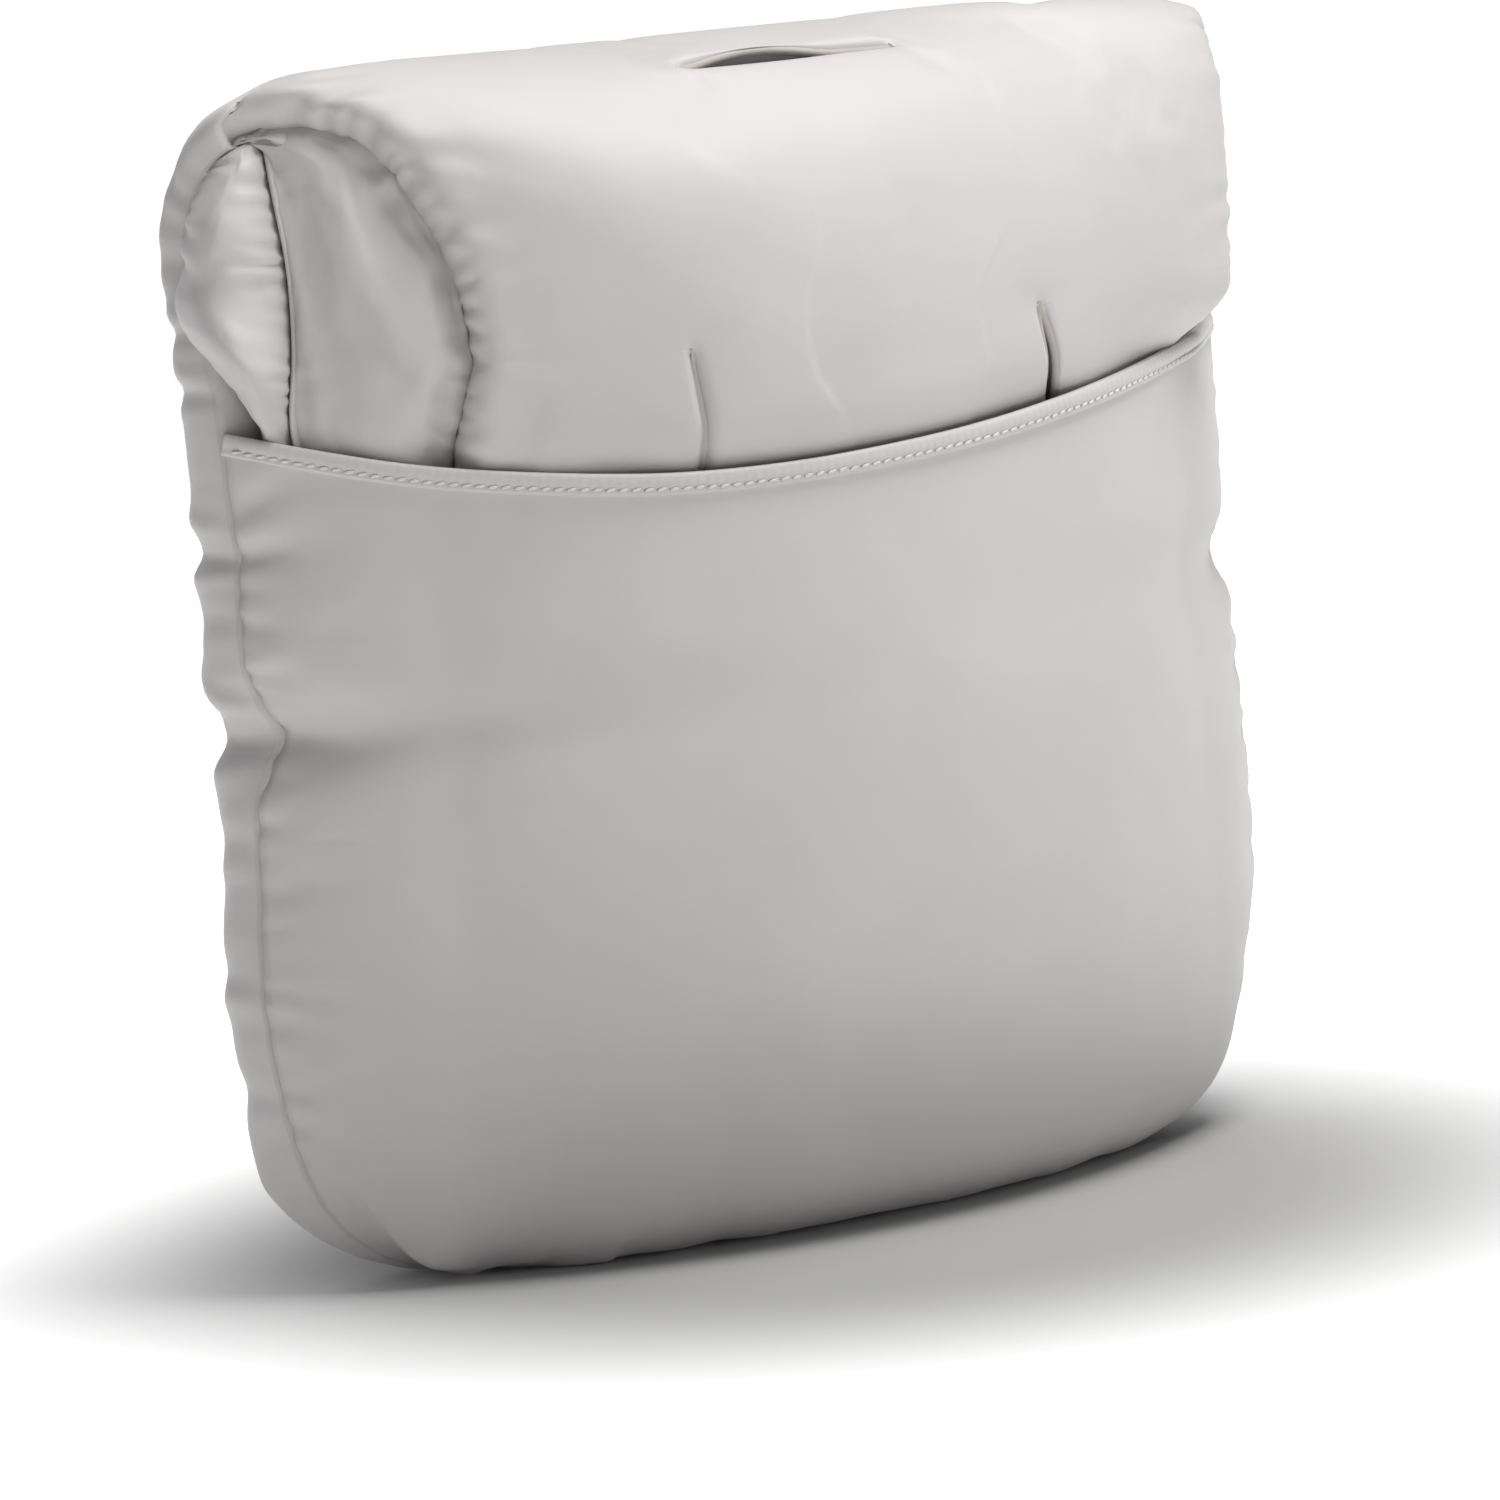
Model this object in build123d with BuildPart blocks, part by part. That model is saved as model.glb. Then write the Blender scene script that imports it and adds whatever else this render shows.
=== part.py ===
"""Padded footmuff, its upper half folded forward and tucked into the pouch on its lower half.

Frame: +Z up, +X to the right as seen from the pouch side, -Y is the pouch side. The origin is
the middle of the box round the muff, on the floor. All sizes are millimetres. Every y below is
counted from the side seam plane, where the pouch is sewn to the standing pad. Each soft form is
what three outlines share: its plan, its outline seen from the front, and its side profile.
"""

import os
from math import cos, radians, sin, sqrt

from build123d import *

# Overall form
HALF_WIDTH = 250.0  # half the width across the side seams
FOLD_TOP = 490.0  # top of the ridge, which is the height as folded
CORNER_RADIUS = 100.0  # rounding of the two bottom corners, seen from the front
SEAM_PLANE = 42.5  # side seam plane, behind the middle of the muff

# Cloth
FABRIC = 1.6  # outer fabric with its backing
LINING = 1.2

# Standing pad
PAD_TOP = FOLD_TOP - 69.0  # height at which the pad turns into the fold
PAD_FACE = -4.0  # front face of the pad
PAD_FOOT = 18.0  # back face of the pad on the floor
PAD_BACK = 36.0  # back face of the pad higher up
PAD_FILL_HEIGHT = 80.0  # height at which the back reaches its full depth
PAD_CROWN = 8.0  # how much thinner the pad is at its edges
PAD_CORNER = 14.0  # rounding of its upright corners

# Pouch
POUCH_FRONT = -118.0  # fullest point
POUCH_FOOT = -60.0  # front of the patch that it stands on
POUCH_FILL_HEIGHT = 108.0  # height at which the pouch is full
MOUTH_SIDE = 352.0  # height of the pouch mouth at the side seams
MOUTH_MIDDLE = 329.0  # height of the pouch mouth in the middle
HEM_WIDTH = 10.0
HEM_SWELL = 0.8  # how far the hem stands out from the cloth on both faces
MOUTH_CLEARANCE = 1.6  # the folded half bulges over the mouth from this far above it

# Fold
RIDGE_CORNER = 40.0  # rounding of the ridge's two ends, seen from the front
REAR_PLANE = -19.0  # front face of all that stays behind the fold line
FRONT_PLANE = -21.0  # rear face of all that unfolds
FRONT_REACH = -121.0  # fullest point of the folded half
FRONT_ARC_RADIUS = 116.5  # side profile of the folded half, from the ridge down
FRONT_ARC_Y = FRONT_REACH - 1.0 + FRONT_ARC_RADIUS
FRONT_ARC_Z = FOLD_TOP - sqrt(FRONT_ARC_RADIUS**2 - (FRONT_PLANE - FRONT_ARC_Y) ** 2)
FRONT_SPREAD = 310.0  # radius of its front in plan
TUCK_FRONT = -107.0  # front of what is tucked into the pouch
TUCK_BOTTOM = 204.0
TUCK_CORNER = 16.0
PANEL_THICK = 24.0  # thickness of the padded panel that shows in front
COVER_GAP = 3.0  # air between that panel and the cover pad behind it
REAR_COVER_HALF = HALF_WIDTH - 64.0  # half width of the flat layer between the pad and the fold line

# Ends of the front panel: how far below the top of the ridge, how far in from the side seams
PANEL_END = [(110, 79), (98, 75), (75, 66), (55, 53), (35, 37), (20, 23), (10, 16), (3, 15)]
RIM_WIDTH = 7.0  # corded seam along the ends of the panel
RIM_DEPTH = 9.0
RIM_PROUD = 1.5
RIM_TOP = FOLD_TOP - 6.0

# Side lobes between the panel's ends and the pad
LOBE_REACH = HALF_WIDTH - 10.0  # widest, above the mouth
LOBE_WIDEST = FOLD_TOP - 90.0
LOBE_MOUTH_REACH = HALF_WIDTH - 24.0  # at the mouth
LOBE_TUCK_REACH = HALF_WIDTH - 28.0  # near the tucked end
LOBE_ROOT = HALF_WIDTH - 100.0  # hidden edge, inside the panel's end
LOBE_TOP = FOLD_TOP - 38.0
LOBE_TOP_ROUND = (14.0, 8.0)  # bevel of the lobe's top outer corner: in, down
LOBE_BOTTOM = TUCK_BOTTOM + 10.0
LOBE_FRONT = -63.0  # front of the lobe where it leaves the panel
LOBE_BULGE = (HALF_WIDTH - 38.0, -49.0)
LOBE_BACK_REACH = HALF_WIDTH - 17.0  # reach of the front lobe at the fold line
PLACKET = 2.6  # thickness of the folded edge that closes the front lobe
PLACKET_WIDTH = 20.0

# Harness slots
CROTCH_SLOT = 108.0  # length of the slot on the ridge
CROTCH_SLOT_TILT = 20.0  # degrees that the slot faces forward of straight up
WAIST_SLOT = 76.0  # length of each upright slot
WAIST_SLOT_TOP = 368.0
WAIST_SLOT_SPREAD = 88.0  # each upright slot from the middle
SLOT_OPEN = 3.6
BINDING = 1.8  # width of the binding round a slot
BINDING_PROUD = 0.8  # how far bindings and bar tacks stand up from the cloth
BARTACK = 2.6  # width of the bar of stitches beyond a slot's end

BEYOND = 600.0  # longer than anything that is cut
STAND_OFF = 1.0  # side profiles reach past the other outlines, so that no two faces just touch
PLAN = Plane((0, SEAM_PLANE, 0))
FRONT = Plane((0, SEAM_PLANE, 0), x_dir=(1, 0, 0), z_dir=(0, -1, 0))
SIDE = Plane((0, SEAM_PLANE, 0), x_dir=(0, 1, 0), z_dir=(1, 0, 0))


def block(plan, front, side):
    """The solid shared by a plan, a front outline and a side profile."""
    with BuildPart() as form:
        extrude(plan, amount=BEYOND, dir=(0, 0, 1))
        extrude(front, amount=BEYOND, both=True, mode=Mode.INTERSECT)
        extrude(side, amount=BEYOND, both=True, mode=Mode.INTERSECT)
    return form.part


def less(keep, *remove):
    """A solid less others."""
    with BuildPart() as form:
        add(keep)
        for other in remove:
            add(other, mode=Mode.SUBTRACT)
    return form.part


def shared(first, second):
    """What two solids share."""
    with BuildPart() as form:
        add(first)
        add(second, mode=Mode.INTERSECT)
    return form.part


def joined(first, second):
    """Two solids as one."""
    with BuildPart() as form:
        add(first)
        add(second)
    return form.part


def half_plane(y, keep):
    """Everything behind (keep 1) or in front of (keep -1) the plane y."""
    align = (Align.CENTER, Align.MIN if keep > 0 else Align.MAX, Align.CENTER)
    with BuildPart() as space:
        with Locations((0, SEAM_PLANE + y, 0)):
            Box(2 * BEYOND, BEYOND, 2 * BEYOND, align=align)
    return space.part


# ---- plans ----
def bow_plan(front, radius, flat, inset=0.0):
    """Flat behind, bowed in front: an arc of the radius whose foremost point is front."""
    centre = front + radius
    radius -= inset
    half = sqrt(radius**2 - (centre - flat) ** 2)
    with BuildSketch(PLAN) as plan:
        with BuildLine():
            Line((-half, flat), (half, flat))
            ThreePointArc((half, flat), (0, centre - radius), (-half, flat))
        make_face()
    return plan.sketch


def pad_plan(flat, inset=0.0):
    """Flat front, rounded corners, softly crowned back."""
    half, back, corner = HALF_WIDTH - inset, PAD_BACK - inset, PAD_CORNER
    side = back - PAD_CROWN
    with BuildSketch(PLAN) as plan:
        with BuildLine():
            Line((-half, flat), (half, flat))
            Line((half, flat), (half, side - corner))
            RadiusArc((half, side - corner), (half - corner, side), -corner)
            ThreePointArc((half - corner, side), (0, back), (corner - half, side))
            RadiusArc((corner - half, side), (-half, side - corner), -corner)
            Line((-half, side - corner), (-half, flat))
        make_face()
    return plan.sketch


def lobe_plan(side):
    """Plan of a front lobe, from behind the panel's end to the fold line."""
    back, panel_half = FRONT_PLANE - PLACKET, HALF_WIDTH - PANEL_END[0][1]
    with BuildSketch(PLAN) as plan:
        with BuildLine():
            Polyline(
                (side * LOBE_BACK_REACH, back), (side * LOBE_ROOT, back),
                (side * LOBE_ROOT, LOBE_FRONT), (side * panel_half, LOBE_FRONT),
            )
            ThreePointArc(
                (side * panel_half, LOBE_FRONT), (side * LOBE_BULGE[0], LOBE_BULGE[1]),
                (side * LOBE_BACK_REACH, back),
            )
        make_face()
    return plan.sketch


POUCH_DEPTH = PAD_FACE - POUCH_FRONT
POUCH_RADIUS = ((HALF_WIDTH + STAND_OFF) ** 2 + POUCH_DEPTH**2) / (2 * POUCH_DEPTH)
POUCH_CENTRE = POUCH_FRONT + POUCH_RADIUS


# ---- outlines seen from the front ----
def standing_outline(bottom=0.0, top=BEYOND):
    """Full width with rounded bottom corners; bottom is also the inset of its sides."""
    half, radius = HALF_WIDTH - bottom, CORNER_RADIUS - bottom
    with BuildSketch(FRONT) as outline:
        with Locations((0, bottom)):
            Rectangle(2 * half, top - bottom, align=(Align.CENTER, Align.MIN))
        fillet(outline.vertices().group_by(Axis.Y)[0], radius)
    return outline.sketch


def panel_outline(inset=0.0):
    """The folded panel: a tongue that widens to the ridge. A negative inset widens it only."""
    ends = [(HALF_WIDTH - margin - inset, FOLD_TOP - drop) for drop, margin in PANEL_END]
    bottom, top = TUCK_BOTTOM + max(inset, 0.0), FOLD_TOP + 5
    with BuildSketch(FRONT) as outline:
        with BuildLine():
            for side in (-1, 1):
                Line((side * ends[0][0], bottom), (side * ends[0][0], ends[0][1]))
                Spline(*[(side * x, z) for x, z in ends], tangents=((0, 1), (0, 1)))
                Line((side * ends[-1][0], ends[-1][1]), (side * ends[-1][0], top))
            Line((-ends[0][0], bottom), (ends[0][0], bottom))
            Line((-ends[-1][0], top), (ends[-1][0], top))
        make_face()
        fillet(outline.vertices().group_by(Axis.Y)[0], TUCK_CORNER - max(inset, 0.0))
    return outline.sketch


def ridge_outline(inset=0.0):
    """Full width with rounded top corners, from the top of the pad up."""
    with BuildSketch(FRONT) as outline:
        with Locations((0, PAD_TOP + inset)):
            Rectangle(
                2 * (HALF_WIDTH - inset), FOLD_TOP - PAD_TOP - 2 * inset, align=(Align.CENTER, Align.MIN)
            )
        fillet(outline.vertices().group_by(Axis.Y)[-1], RIDGE_CORNER - inset)
    return outline.sketch


def lobe_outline(side, top):
    """A lobe: from behind the panel to its own reach, with a rounded top."""
    widest, (bevel_in, bevel_down) = LOBE_REACH - 4, LOBE_TOP_ROUND
    foot, mouth_z = LOBE_TUCK_REACH - TUCK_CORNER, MOUTH_SIDE - HEM_WIDTH
    with BuildSketch(FRONT) as outline:
        with BuildLine():
            Line((side * LOBE_ROOT, LOBE_BOTTOM), (side * foot, LOBE_BOTTOM))
            RadiusArc(
                (side * foot, LOBE_BOTTOM), (side * LOBE_TUCK_REACH, LOBE_BOTTOM + TUCK_CORNER),
                side * -TUCK_CORNER,
            )
            Line((side * LOBE_TUCK_REACH, LOBE_BOTTOM + TUCK_CORNER), (side * LOBE_MOUTH_REACH, mouth_z))
            ThreePointArc(
                (side * LOBE_MOUTH_REACH, mouth_z), (side * LOBE_REACH, LOBE_WIDEST),
                (side * widest, top - bevel_down),
            )
            Polyline(
                (side * widest, top - bevel_down), (side * (widest - bevel_in + 4), top),
                (side * LOBE_ROOT, top), (side * LOBE_ROOT, LOBE_BOTTOM),
            )
        make_face()
    return outline.sketch


# ---- side profiles ----
def pouch_profile(inset=0.0):
    """Front of the pouch, rounded under at the foot."""
    run = POUCH_FOOT - POUCH_FRONT + STAND_OFF
    radius = (run**2 + POUCH_FILL_HEIGHT**2) / (2 * run)
    centre = POUCH_FOOT - run + radius
    radius -= inset

    def front(z):
        return centre - sqrt(radius**2 - (POUCH_FILL_HEIGHT - z) ** 2)

    foot, waist, half_way = -4 * STAND_OFF, POUCH_FILL_HEIGHT, 0.4 * POUCH_FILL_HEIGHT
    with BuildSketch(SIDE) as profile:
        with BuildLine():
            Line((40, foot), (front(foot), foot))
            ThreePointArc((front(foot), foot), (front(half_way), half_way), (front(waist), waist))
            Polyline((front(waist), waist), (front(waist), BEYOND), (40, BEYOND), (40, foot))
        make_face()
    return profile.sketch


def pad_profile(inset=0.0):
    """Back of the pad, rounded under at the foot."""
    foot, back, top = PAD_FOOT - inset, PAD_BACK + STAND_OFF - inset, PAD_TOP - inset
    low = -4 * STAND_OFF
    with BuildSketch(SIDE) as profile:
        with BuildLine():
            Line((-100, low), (foot, low))
            ThreePointArc((foot, low), (back - 6, 0.4 * PAD_FILL_HEIGHT), (back, PAD_FILL_HEIGHT))
            Polyline((back, PAD_FILL_HEIGHT), (back, top), (-100, top), (-100, low))
        make_face()
    return profile.sketch


def rear_profile(inset=0.0):
    """Back of the fold: one arc from the top of the pad over to the fold line."""
    rise, run = FOLD_TOP - 0.4 - PAD_TOP, PAD_BACK + STAND_OFF - REAR_PLANE
    radius = (rise**2 + run**2) / (2 * run)
    with BuildSketch(SIDE) as profile:
        with Locations((REAR_PLANE + run - radius, PAD_TOP)):
            Circle(radius - inset)
        with Locations((REAR_PLANE + inset, PAD_TOP + inset)):
            Rectangle(100, 100, align=(Align.MIN, Align.MIN), mode=Mode.INTERSECT)
    return profile.sketch


def front_profile(inset=0.0, through=False):
    """Front of the fold: an arc from the ridge down, then straight to the tucked end.

    With through it runs on below and behind, to cut a hollow.
    """
    radius = FRONT_ARC_RADIUS - inset
    bottom = TUCK_BOTTOM - 50 if through else TUCK_BOTTOM + inset
    flat = 0.0 if through else FRONT_PLANE - inset
    with BuildSketch(SIDE) as profile:
        with Locations((FRONT_ARC_Y, FRONT_ARC_Z)):
            Circle(radius)
        with Locations((FRONT_ARC_Y - radius, bottom)):
            Rectangle(radius, FRONT_ARC_Z - bottom, align=(Align.MIN, Align.MIN))
        with Locations((flat, 0)):
            Rectangle(BEYOND, 2 * BEYOND, align=(Align.MIN, Align.CENTER), mode=Mode.SUBTRACT)
    return profile.sketch


# ---- the pouch mouth, and the room that it leaves ----
def past_mouth(rise, far=BEYOND):
    """Everything above the curve of the pouch mouth lifted by rise; below it, if far is negative."""
    half, side, middle = HALF_WIDTH + 5, MOUTH_SIDE + rise, MOUTH_MIDDLE + rise
    with BuildPart() as space:
        with BuildSketch(FRONT):
            with BuildLine():
                ThreePointArc((-half, side), (0, middle), (half, side))
                Polyline((half, side), (half, far), (-half, far), (-half, side))
            make_face()
        extrude(amount=BEYOND, both=True)
    return space.part


def tucked(form, inset=0.0):
    """A form of the fold, narrowed to the room inside the pouch wherever it is below the mouth."""
    room = bow_plan(TUCK_FRONT, POUCH_CENTRE - TUCK_FRONT, 60.0, inset)
    with BuildPart() as outside:
        add(past_mouth(MOUTH_CLEARANCE + max(inset, 0.0), -BEYOND))
        extrude(room, amount=BEYOND, both=True, dir=(0, 0, 1), mode=Mode.SUBTRACT)
        add(half_plane(PAD_FACE + 2, 1), mode=Mode.SUBTRACT)
    return less(form, outside.part)


# ---- standing pad ----
pad_outside = block(pad_plan(PAD_FACE), standing_outline(0, PAD_TOP), pad_profile())
pad_inside = block(pad_plan(PAD_FACE, FABRIC), standing_outline(FABRIC, PAD_TOP), pad_profile(FABRIC))
inner_lining = shared(pad_outside, half_plane(PAD_FACE + LINING, -1))
back_wadding = shared(pad_inside, half_plane(PAD_FACE + LINING, 1))
back_shell = less(pad_outside, back_wadding, inner_lining)


# ---- pouch ----
def pouch_form(inset):
    """The full pouch up past its mouth, inset all round but not behind."""
    return block(
        bow_plan(POUCH_FRONT, POUCH_RADIUS, PAD_FACE, inset), standing_outline(inset), pouch_profile(inset)
    )


pouch_outside, pouch_middle, pouch_inside = (pouch_form(d) for d in (0.0, FABRIC, FABRIC + LINING))
mouth = past_mouth(0)
pouch_panel = less(pouch_outside, pouch_middle, mouth)
pouch_lining = less(pouch_middle, pouch_inside, mouth)
hem_band = less(past_mouth(-HEM_WIDTH), past_mouth(HEM_SWELL))
pouch_hem = less(
    shared(pouch_form(-HEM_SWELL), hem_band),
    pouch_form(FABRIC + LINING + HEM_SWELL), pouch_panel, pouch_lining,
)

# ---- rear of the fold ----
rear_outside = block(pad_plan(REAR_PLANE), ridge_outline(), rear_profile())
rear_fold_wadding = block(pad_plan(REAR_PLANE, FABRIC), ridge_outline(FABRIC), rear_profile(FABRIC))
rear_fold_shell = less(rear_outside, rear_fold_wadding)

with BuildPart() as rear_cover:
    with Locations((0, SEAM_PLANE + PAD_FACE, LOBE_BOTTOM)):
        Box(
            2 * REAR_COVER_HALF, PAD_FACE - REAR_PLANE, PAD_TOP - LOBE_BOTTOM,
            align=(Align.CENTER, Align.MAX, Align.MIN),
        )


def lobe(plan, side, top):
    """A side lobe of the fold from its plan."""
    with BuildPart() as form:
        extrude(plan, amount=BEYOND, dir=(0, 0, 1))
        extrude(lobe_outline(side, top), amount=BEYOND, both=True, mode=Mode.INTERSECT)
    return tucked(form.part)


def rear_lobe(side):
    """Lobe beside the rear cover, between the pad and the fold line."""
    inner, outer = side * REAR_COVER_HALF, side * (LOBE_REACH - 6)
    with BuildSketch(PLAN) as plan:
        with BuildLine():
            Polyline((outer, REAR_PLANE), (inner, REAR_PLANE), (inner, PAD_FACE), (outer, PAD_FACE))
            ThreePointArc(
                (outer, PAD_FACE), (side * LOBE_REACH, (PAD_FACE + REAR_PLANE) / 2), (outer, REAR_PLANE)
            )
        make_face()
    return lobe(plan.sketch, side, PAD_TOP)


# ---- front of the fold ----
def front_form(inset, outline):
    """The front of the fold within an outline, inset all round."""
    plan = bow_plan(FRONT_REACH, FRONT_SPREAD, FRONT_PLANE - max(inset, 0.0), inset)
    return tucked(block(plan, outline, front_profile(inset)), inset)


def hollow(depth):
    """The space behind the front panel, depth behind its face, open at the ends and below."""
    with BuildPart() as space:
        extrude(bow_plan(FRONT_REACH, FRONT_SPREAD, 0.0, depth), amount=BEYOND)
        extrude(front_profile(depth, through=True), amount=BEYOND, both=True, mode=Mode.INTERSECT)
    return space.part


front_outside = front_form(0.0, panel_outline())
front_inset = front_form(FABRIC, panel_outline(FABRIC))
panel_hollow, lining_hollow = hollow(PANEL_THICK), hollow(PANEL_THICK - LINING)

# Outward planes of the slots, x along the slot
tilt = radians(CROTCH_SLOT_TILT)
crotch_origin = (
    0, SEAM_PLANE + FRONT_ARC_Y - FRONT_ARC_RADIUS * sin(tilt), FRONT_ARC_Z + FRONT_ARC_RADIUS * cos(tilt)
)
waist_origin = (SEAM_PLANE + TUCK_FRONT, WAIST_SLOT_TOP - WAIST_SLOT / 2)
SLOTS = {
    "crotch_slot": (CROTCH_SLOT, Plane(crotch_origin, (1, 0, 0), (0, -sin(tilt), cos(tilt)))),
    "left_waist_slot": (WAIST_SLOT, Plane((-WAIST_SLOT_SPREAD, *waist_origin), (0, 0, 1), (0, -1, 0))),
    "right_waist_slot": (WAIST_SLOT, Plane((WAIST_SLOT_SPREAD, *waist_origin), (0, 0, 1), (0, -1, 0))),
}


def slot_prism(plane, length, width):
    """Slot-shaped prism through the front panel."""
    with BuildPart() as prism:
        with BuildSketch(plane):
            SlotOverall(length, width)
        extrude(amount=PANEL_THICK * 1.6, both=True)
    return prism.part


openings = {
    name: slot_prism(plane, length + 2 * BINDING, SLOT_OPEN + 2 * BINDING)
    for name, (length, plane) in SLOTS.items()
}
front_shell = less(front_outside, front_inset, panel_hollow, *openings.values())
front_wadding = less(front_inset, lining_hollow, *openings.values())
front_lining = less(shared(lining_hollow, front_inset), panel_hollow, *openings.values())
cover_pad = shared(hollow(PANEL_THICK + COVER_GAP), front_inset)

proud = front_form(-BINDING_PROUD, panel_outline())
behind = hollow(PANEL_THICK + BINDING_PROUD)


def slot_binding(name):
    """Binding that lines a slot and stands up a little on both faces of the panel."""
    length, plane = SLOTS[name]
    ring = less(openings[name], slot_prism(plane, length, SLOT_OPEN))
    return less(shared(ring, proud), behind)


def bartack(name, end):
    """Bar of stitches on the cloth beyond one end of a slot."""
    length, plane = SLOTS[name]
    with BuildPart() as bar:
        with BuildSketch(plane):
            with Locations((end * (length / 2 + BINDING + BARTACK / 2 + 0.6), 0)):
                Rectangle(BARTACK, SLOT_OPEN + 2 * BINDING + 2)
        extrude(amount=PANEL_THICK * 0.6, both=True)
    return less(shared(bar.part, proud), front_outside)


def edge_rim(side):
    """Corded seam along one end of the front panel."""
    with BuildSketch(FRONT) as band:
        add(panel_outline(-RIM_WIDTH))
        add(panel_outline(), mode=Mode.SUBTRACT)
        with Locations((side * BEYOND / 2, LOBE_BOTTOM)):
            Rectangle(BEYOND, RIM_TOP - LOBE_BOTTOM, align=(Align.CENTER, Align.MIN), mode=Mode.INTERSECT)
    return less(
        front_form(-RIM_PROUD, band.sketch), front_outside, hollow(RIM_DEPTH - RIM_PROUD),
    )


def placket(side):
    """Folded edge strip behind the front lobe, along the fold line."""
    with BuildSketch(PLAN) as plan:
        with Locations((side * (LOBE_BACK_REACH - PLACKET_WIDTH / 2), FRONT_PLANE - PLACKET / 2)):
            Rectangle(PLACKET_WIDTH, PLACKET)
    return lobe(plan.sketch, side, LOBE_TOP - 8)


rims = {side: edge_rim(side) for side in (-1, 1)}
front_lobes = {
    side: less(lobe(lobe_plan(side), side, LOBE_TOP), front_outside, rims[side]) for side in (-1, 1)
}

# ---- one file for each piece ----
PIECES = {
    "back_shell": back_shell,
    "back_wadding": back_wadding,
    "inner_lining": inner_lining,
    "pouch_panel": pouch_panel,
    "pouch_lining": pouch_lining,
    "pouch_hem": pouch_hem,
    "rear_fold_shell": rear_fold_shell,
    "rear_fold_wadding": rear_fold_wadding,
    "rear_cover": rear_cover.part,
    "left_rear_lobe": rear_lobe(-1),
    "right_rear_lobe": rear_lobe(1),
    "front_shell": front_shell,
    "front_wadding": front_wadding,
    "front_lining": front_lining,
    "cover_pad": cover_pad,
    "left_edge_rim": rims[-1],
    "right_edge_rim": rims[1],
    "left_front_lobe": front_lobes[-1],
    "right_front_lobe": front_lobes[1],
    "left_lobe_placket": placket(-1),
    "right_lobe_placket": placket(1),
    "crotch_slot_binding": slot_binding("crotch_slot"),
    "left_waist_slot_binding": slot_binding("left_waist_slot"),
    "right_waist_slot_binding": slot_binding("right_waist_slot"),
    "crotch_slot_left_bartack": bartack("crotch_slot", -1),
    "crotch_slot_right_bartack": bartack("crotch_slot", 1),
    "left_waist_slot_bartack": bartack("left_waist_slot", 1),
    "right_waist_slot_bartack": bartack("right_waist_slot", 1),
}

os.makedirs("parts", exist_ok=True)
for name, form in PIECES.items():
    form.label = name
    export_step(form, f"parts/{name}.step")
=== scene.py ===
"""Looks of a padded footmuff, folded in half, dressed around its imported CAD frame."""

import random
from math import cos, exp, pi, radians, sin, sqrt

import bmesh
import bpy
import numpy as np
from mathutils import Matrix, Vector, noise


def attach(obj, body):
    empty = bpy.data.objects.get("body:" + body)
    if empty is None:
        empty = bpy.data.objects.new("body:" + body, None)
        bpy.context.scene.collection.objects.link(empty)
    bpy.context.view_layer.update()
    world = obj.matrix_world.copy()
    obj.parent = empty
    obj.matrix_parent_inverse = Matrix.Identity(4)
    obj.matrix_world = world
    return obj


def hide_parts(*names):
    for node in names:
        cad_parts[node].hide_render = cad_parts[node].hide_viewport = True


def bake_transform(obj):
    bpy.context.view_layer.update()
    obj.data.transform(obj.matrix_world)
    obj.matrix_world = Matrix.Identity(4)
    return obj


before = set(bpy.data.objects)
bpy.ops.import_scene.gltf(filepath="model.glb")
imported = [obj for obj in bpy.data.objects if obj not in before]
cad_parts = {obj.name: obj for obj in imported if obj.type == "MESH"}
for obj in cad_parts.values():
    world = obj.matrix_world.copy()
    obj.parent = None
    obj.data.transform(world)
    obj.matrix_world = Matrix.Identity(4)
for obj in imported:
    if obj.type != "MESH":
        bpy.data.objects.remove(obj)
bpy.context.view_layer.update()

# Millimetres. Depths are measured from the seam plane, forward is negative.
SEAM_PLANE = 42.5
SIDE_SEAM = 246.0
LEFT_CORNER, RIGHT_CORNER = 80.0, 112.0
PAD_BACK, PAD_FACE, PAD_FOOT, PAD_TOP = 39.0, -4.0, 14.0, 415.0
RIDGE_DEPTH, RIDGE_TOP, SHOULDER = -12.0, 490.5, 374.0
FOLD_FRONT, FOLD_SPREAD = -121.0, 310.0
POUCH_FRONT, POUCH_FOOT, POUCH_FULL = -117.5, -58.0, 108.0
POUCH_SPREAD = 333.3
# Stations of the pad's foot and of the tucked end; height of the foot's edge and of its turn to the back.
FOOT_STATION, TUCK_STATION = -505.0, 258.0
FOOT_EDGE, FOOT_RISE = 10.0, 80.0
RIDGE_FLAT, RIDGE_ROUND = 204.0, 52.0
# Front of the tucked end, and the depths that its seam and its lining stay forward of.
TUCK_FRONT, TUCK_SPREAD = -107.0, POUCH_SPREAD - 11
TUCK_SEAM, TUCK_LINING = -36.0, -33.0
LOWEST = 0.3
MOUTH = (
    (-255, 355), (-225, 344), (-190, 334), (-150, 327), (-100, 321.5), (-50, 320.5), (0, 322.5),
    (50, 326), (100, 331), (150, 336.5), (200, 342), (255, 349),
)
EDGE_ROLL = (0.0, 1.0, 3.6, 7.6, 12.6, 18.0)
WAIST_SLOT = 86.0
# x at station 102 and lean of the left and the right waist slot, and how wide each gapes.
WAIST_AIMS = ((-86.5, 0.12), (85.5, 0.3))
WAIST_GAPE = {"right": 3.2, "left": 0.9}
LIP_SINK = 2.2
RIGHT_RUN = 2000


def ease(value, low, high):
    """0 below low, 1 above high, smooth between."""
    t = min(max((value - low) / (high - low), 0.0), 1.0)
    return t * t * (3 - 2 * t)


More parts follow.
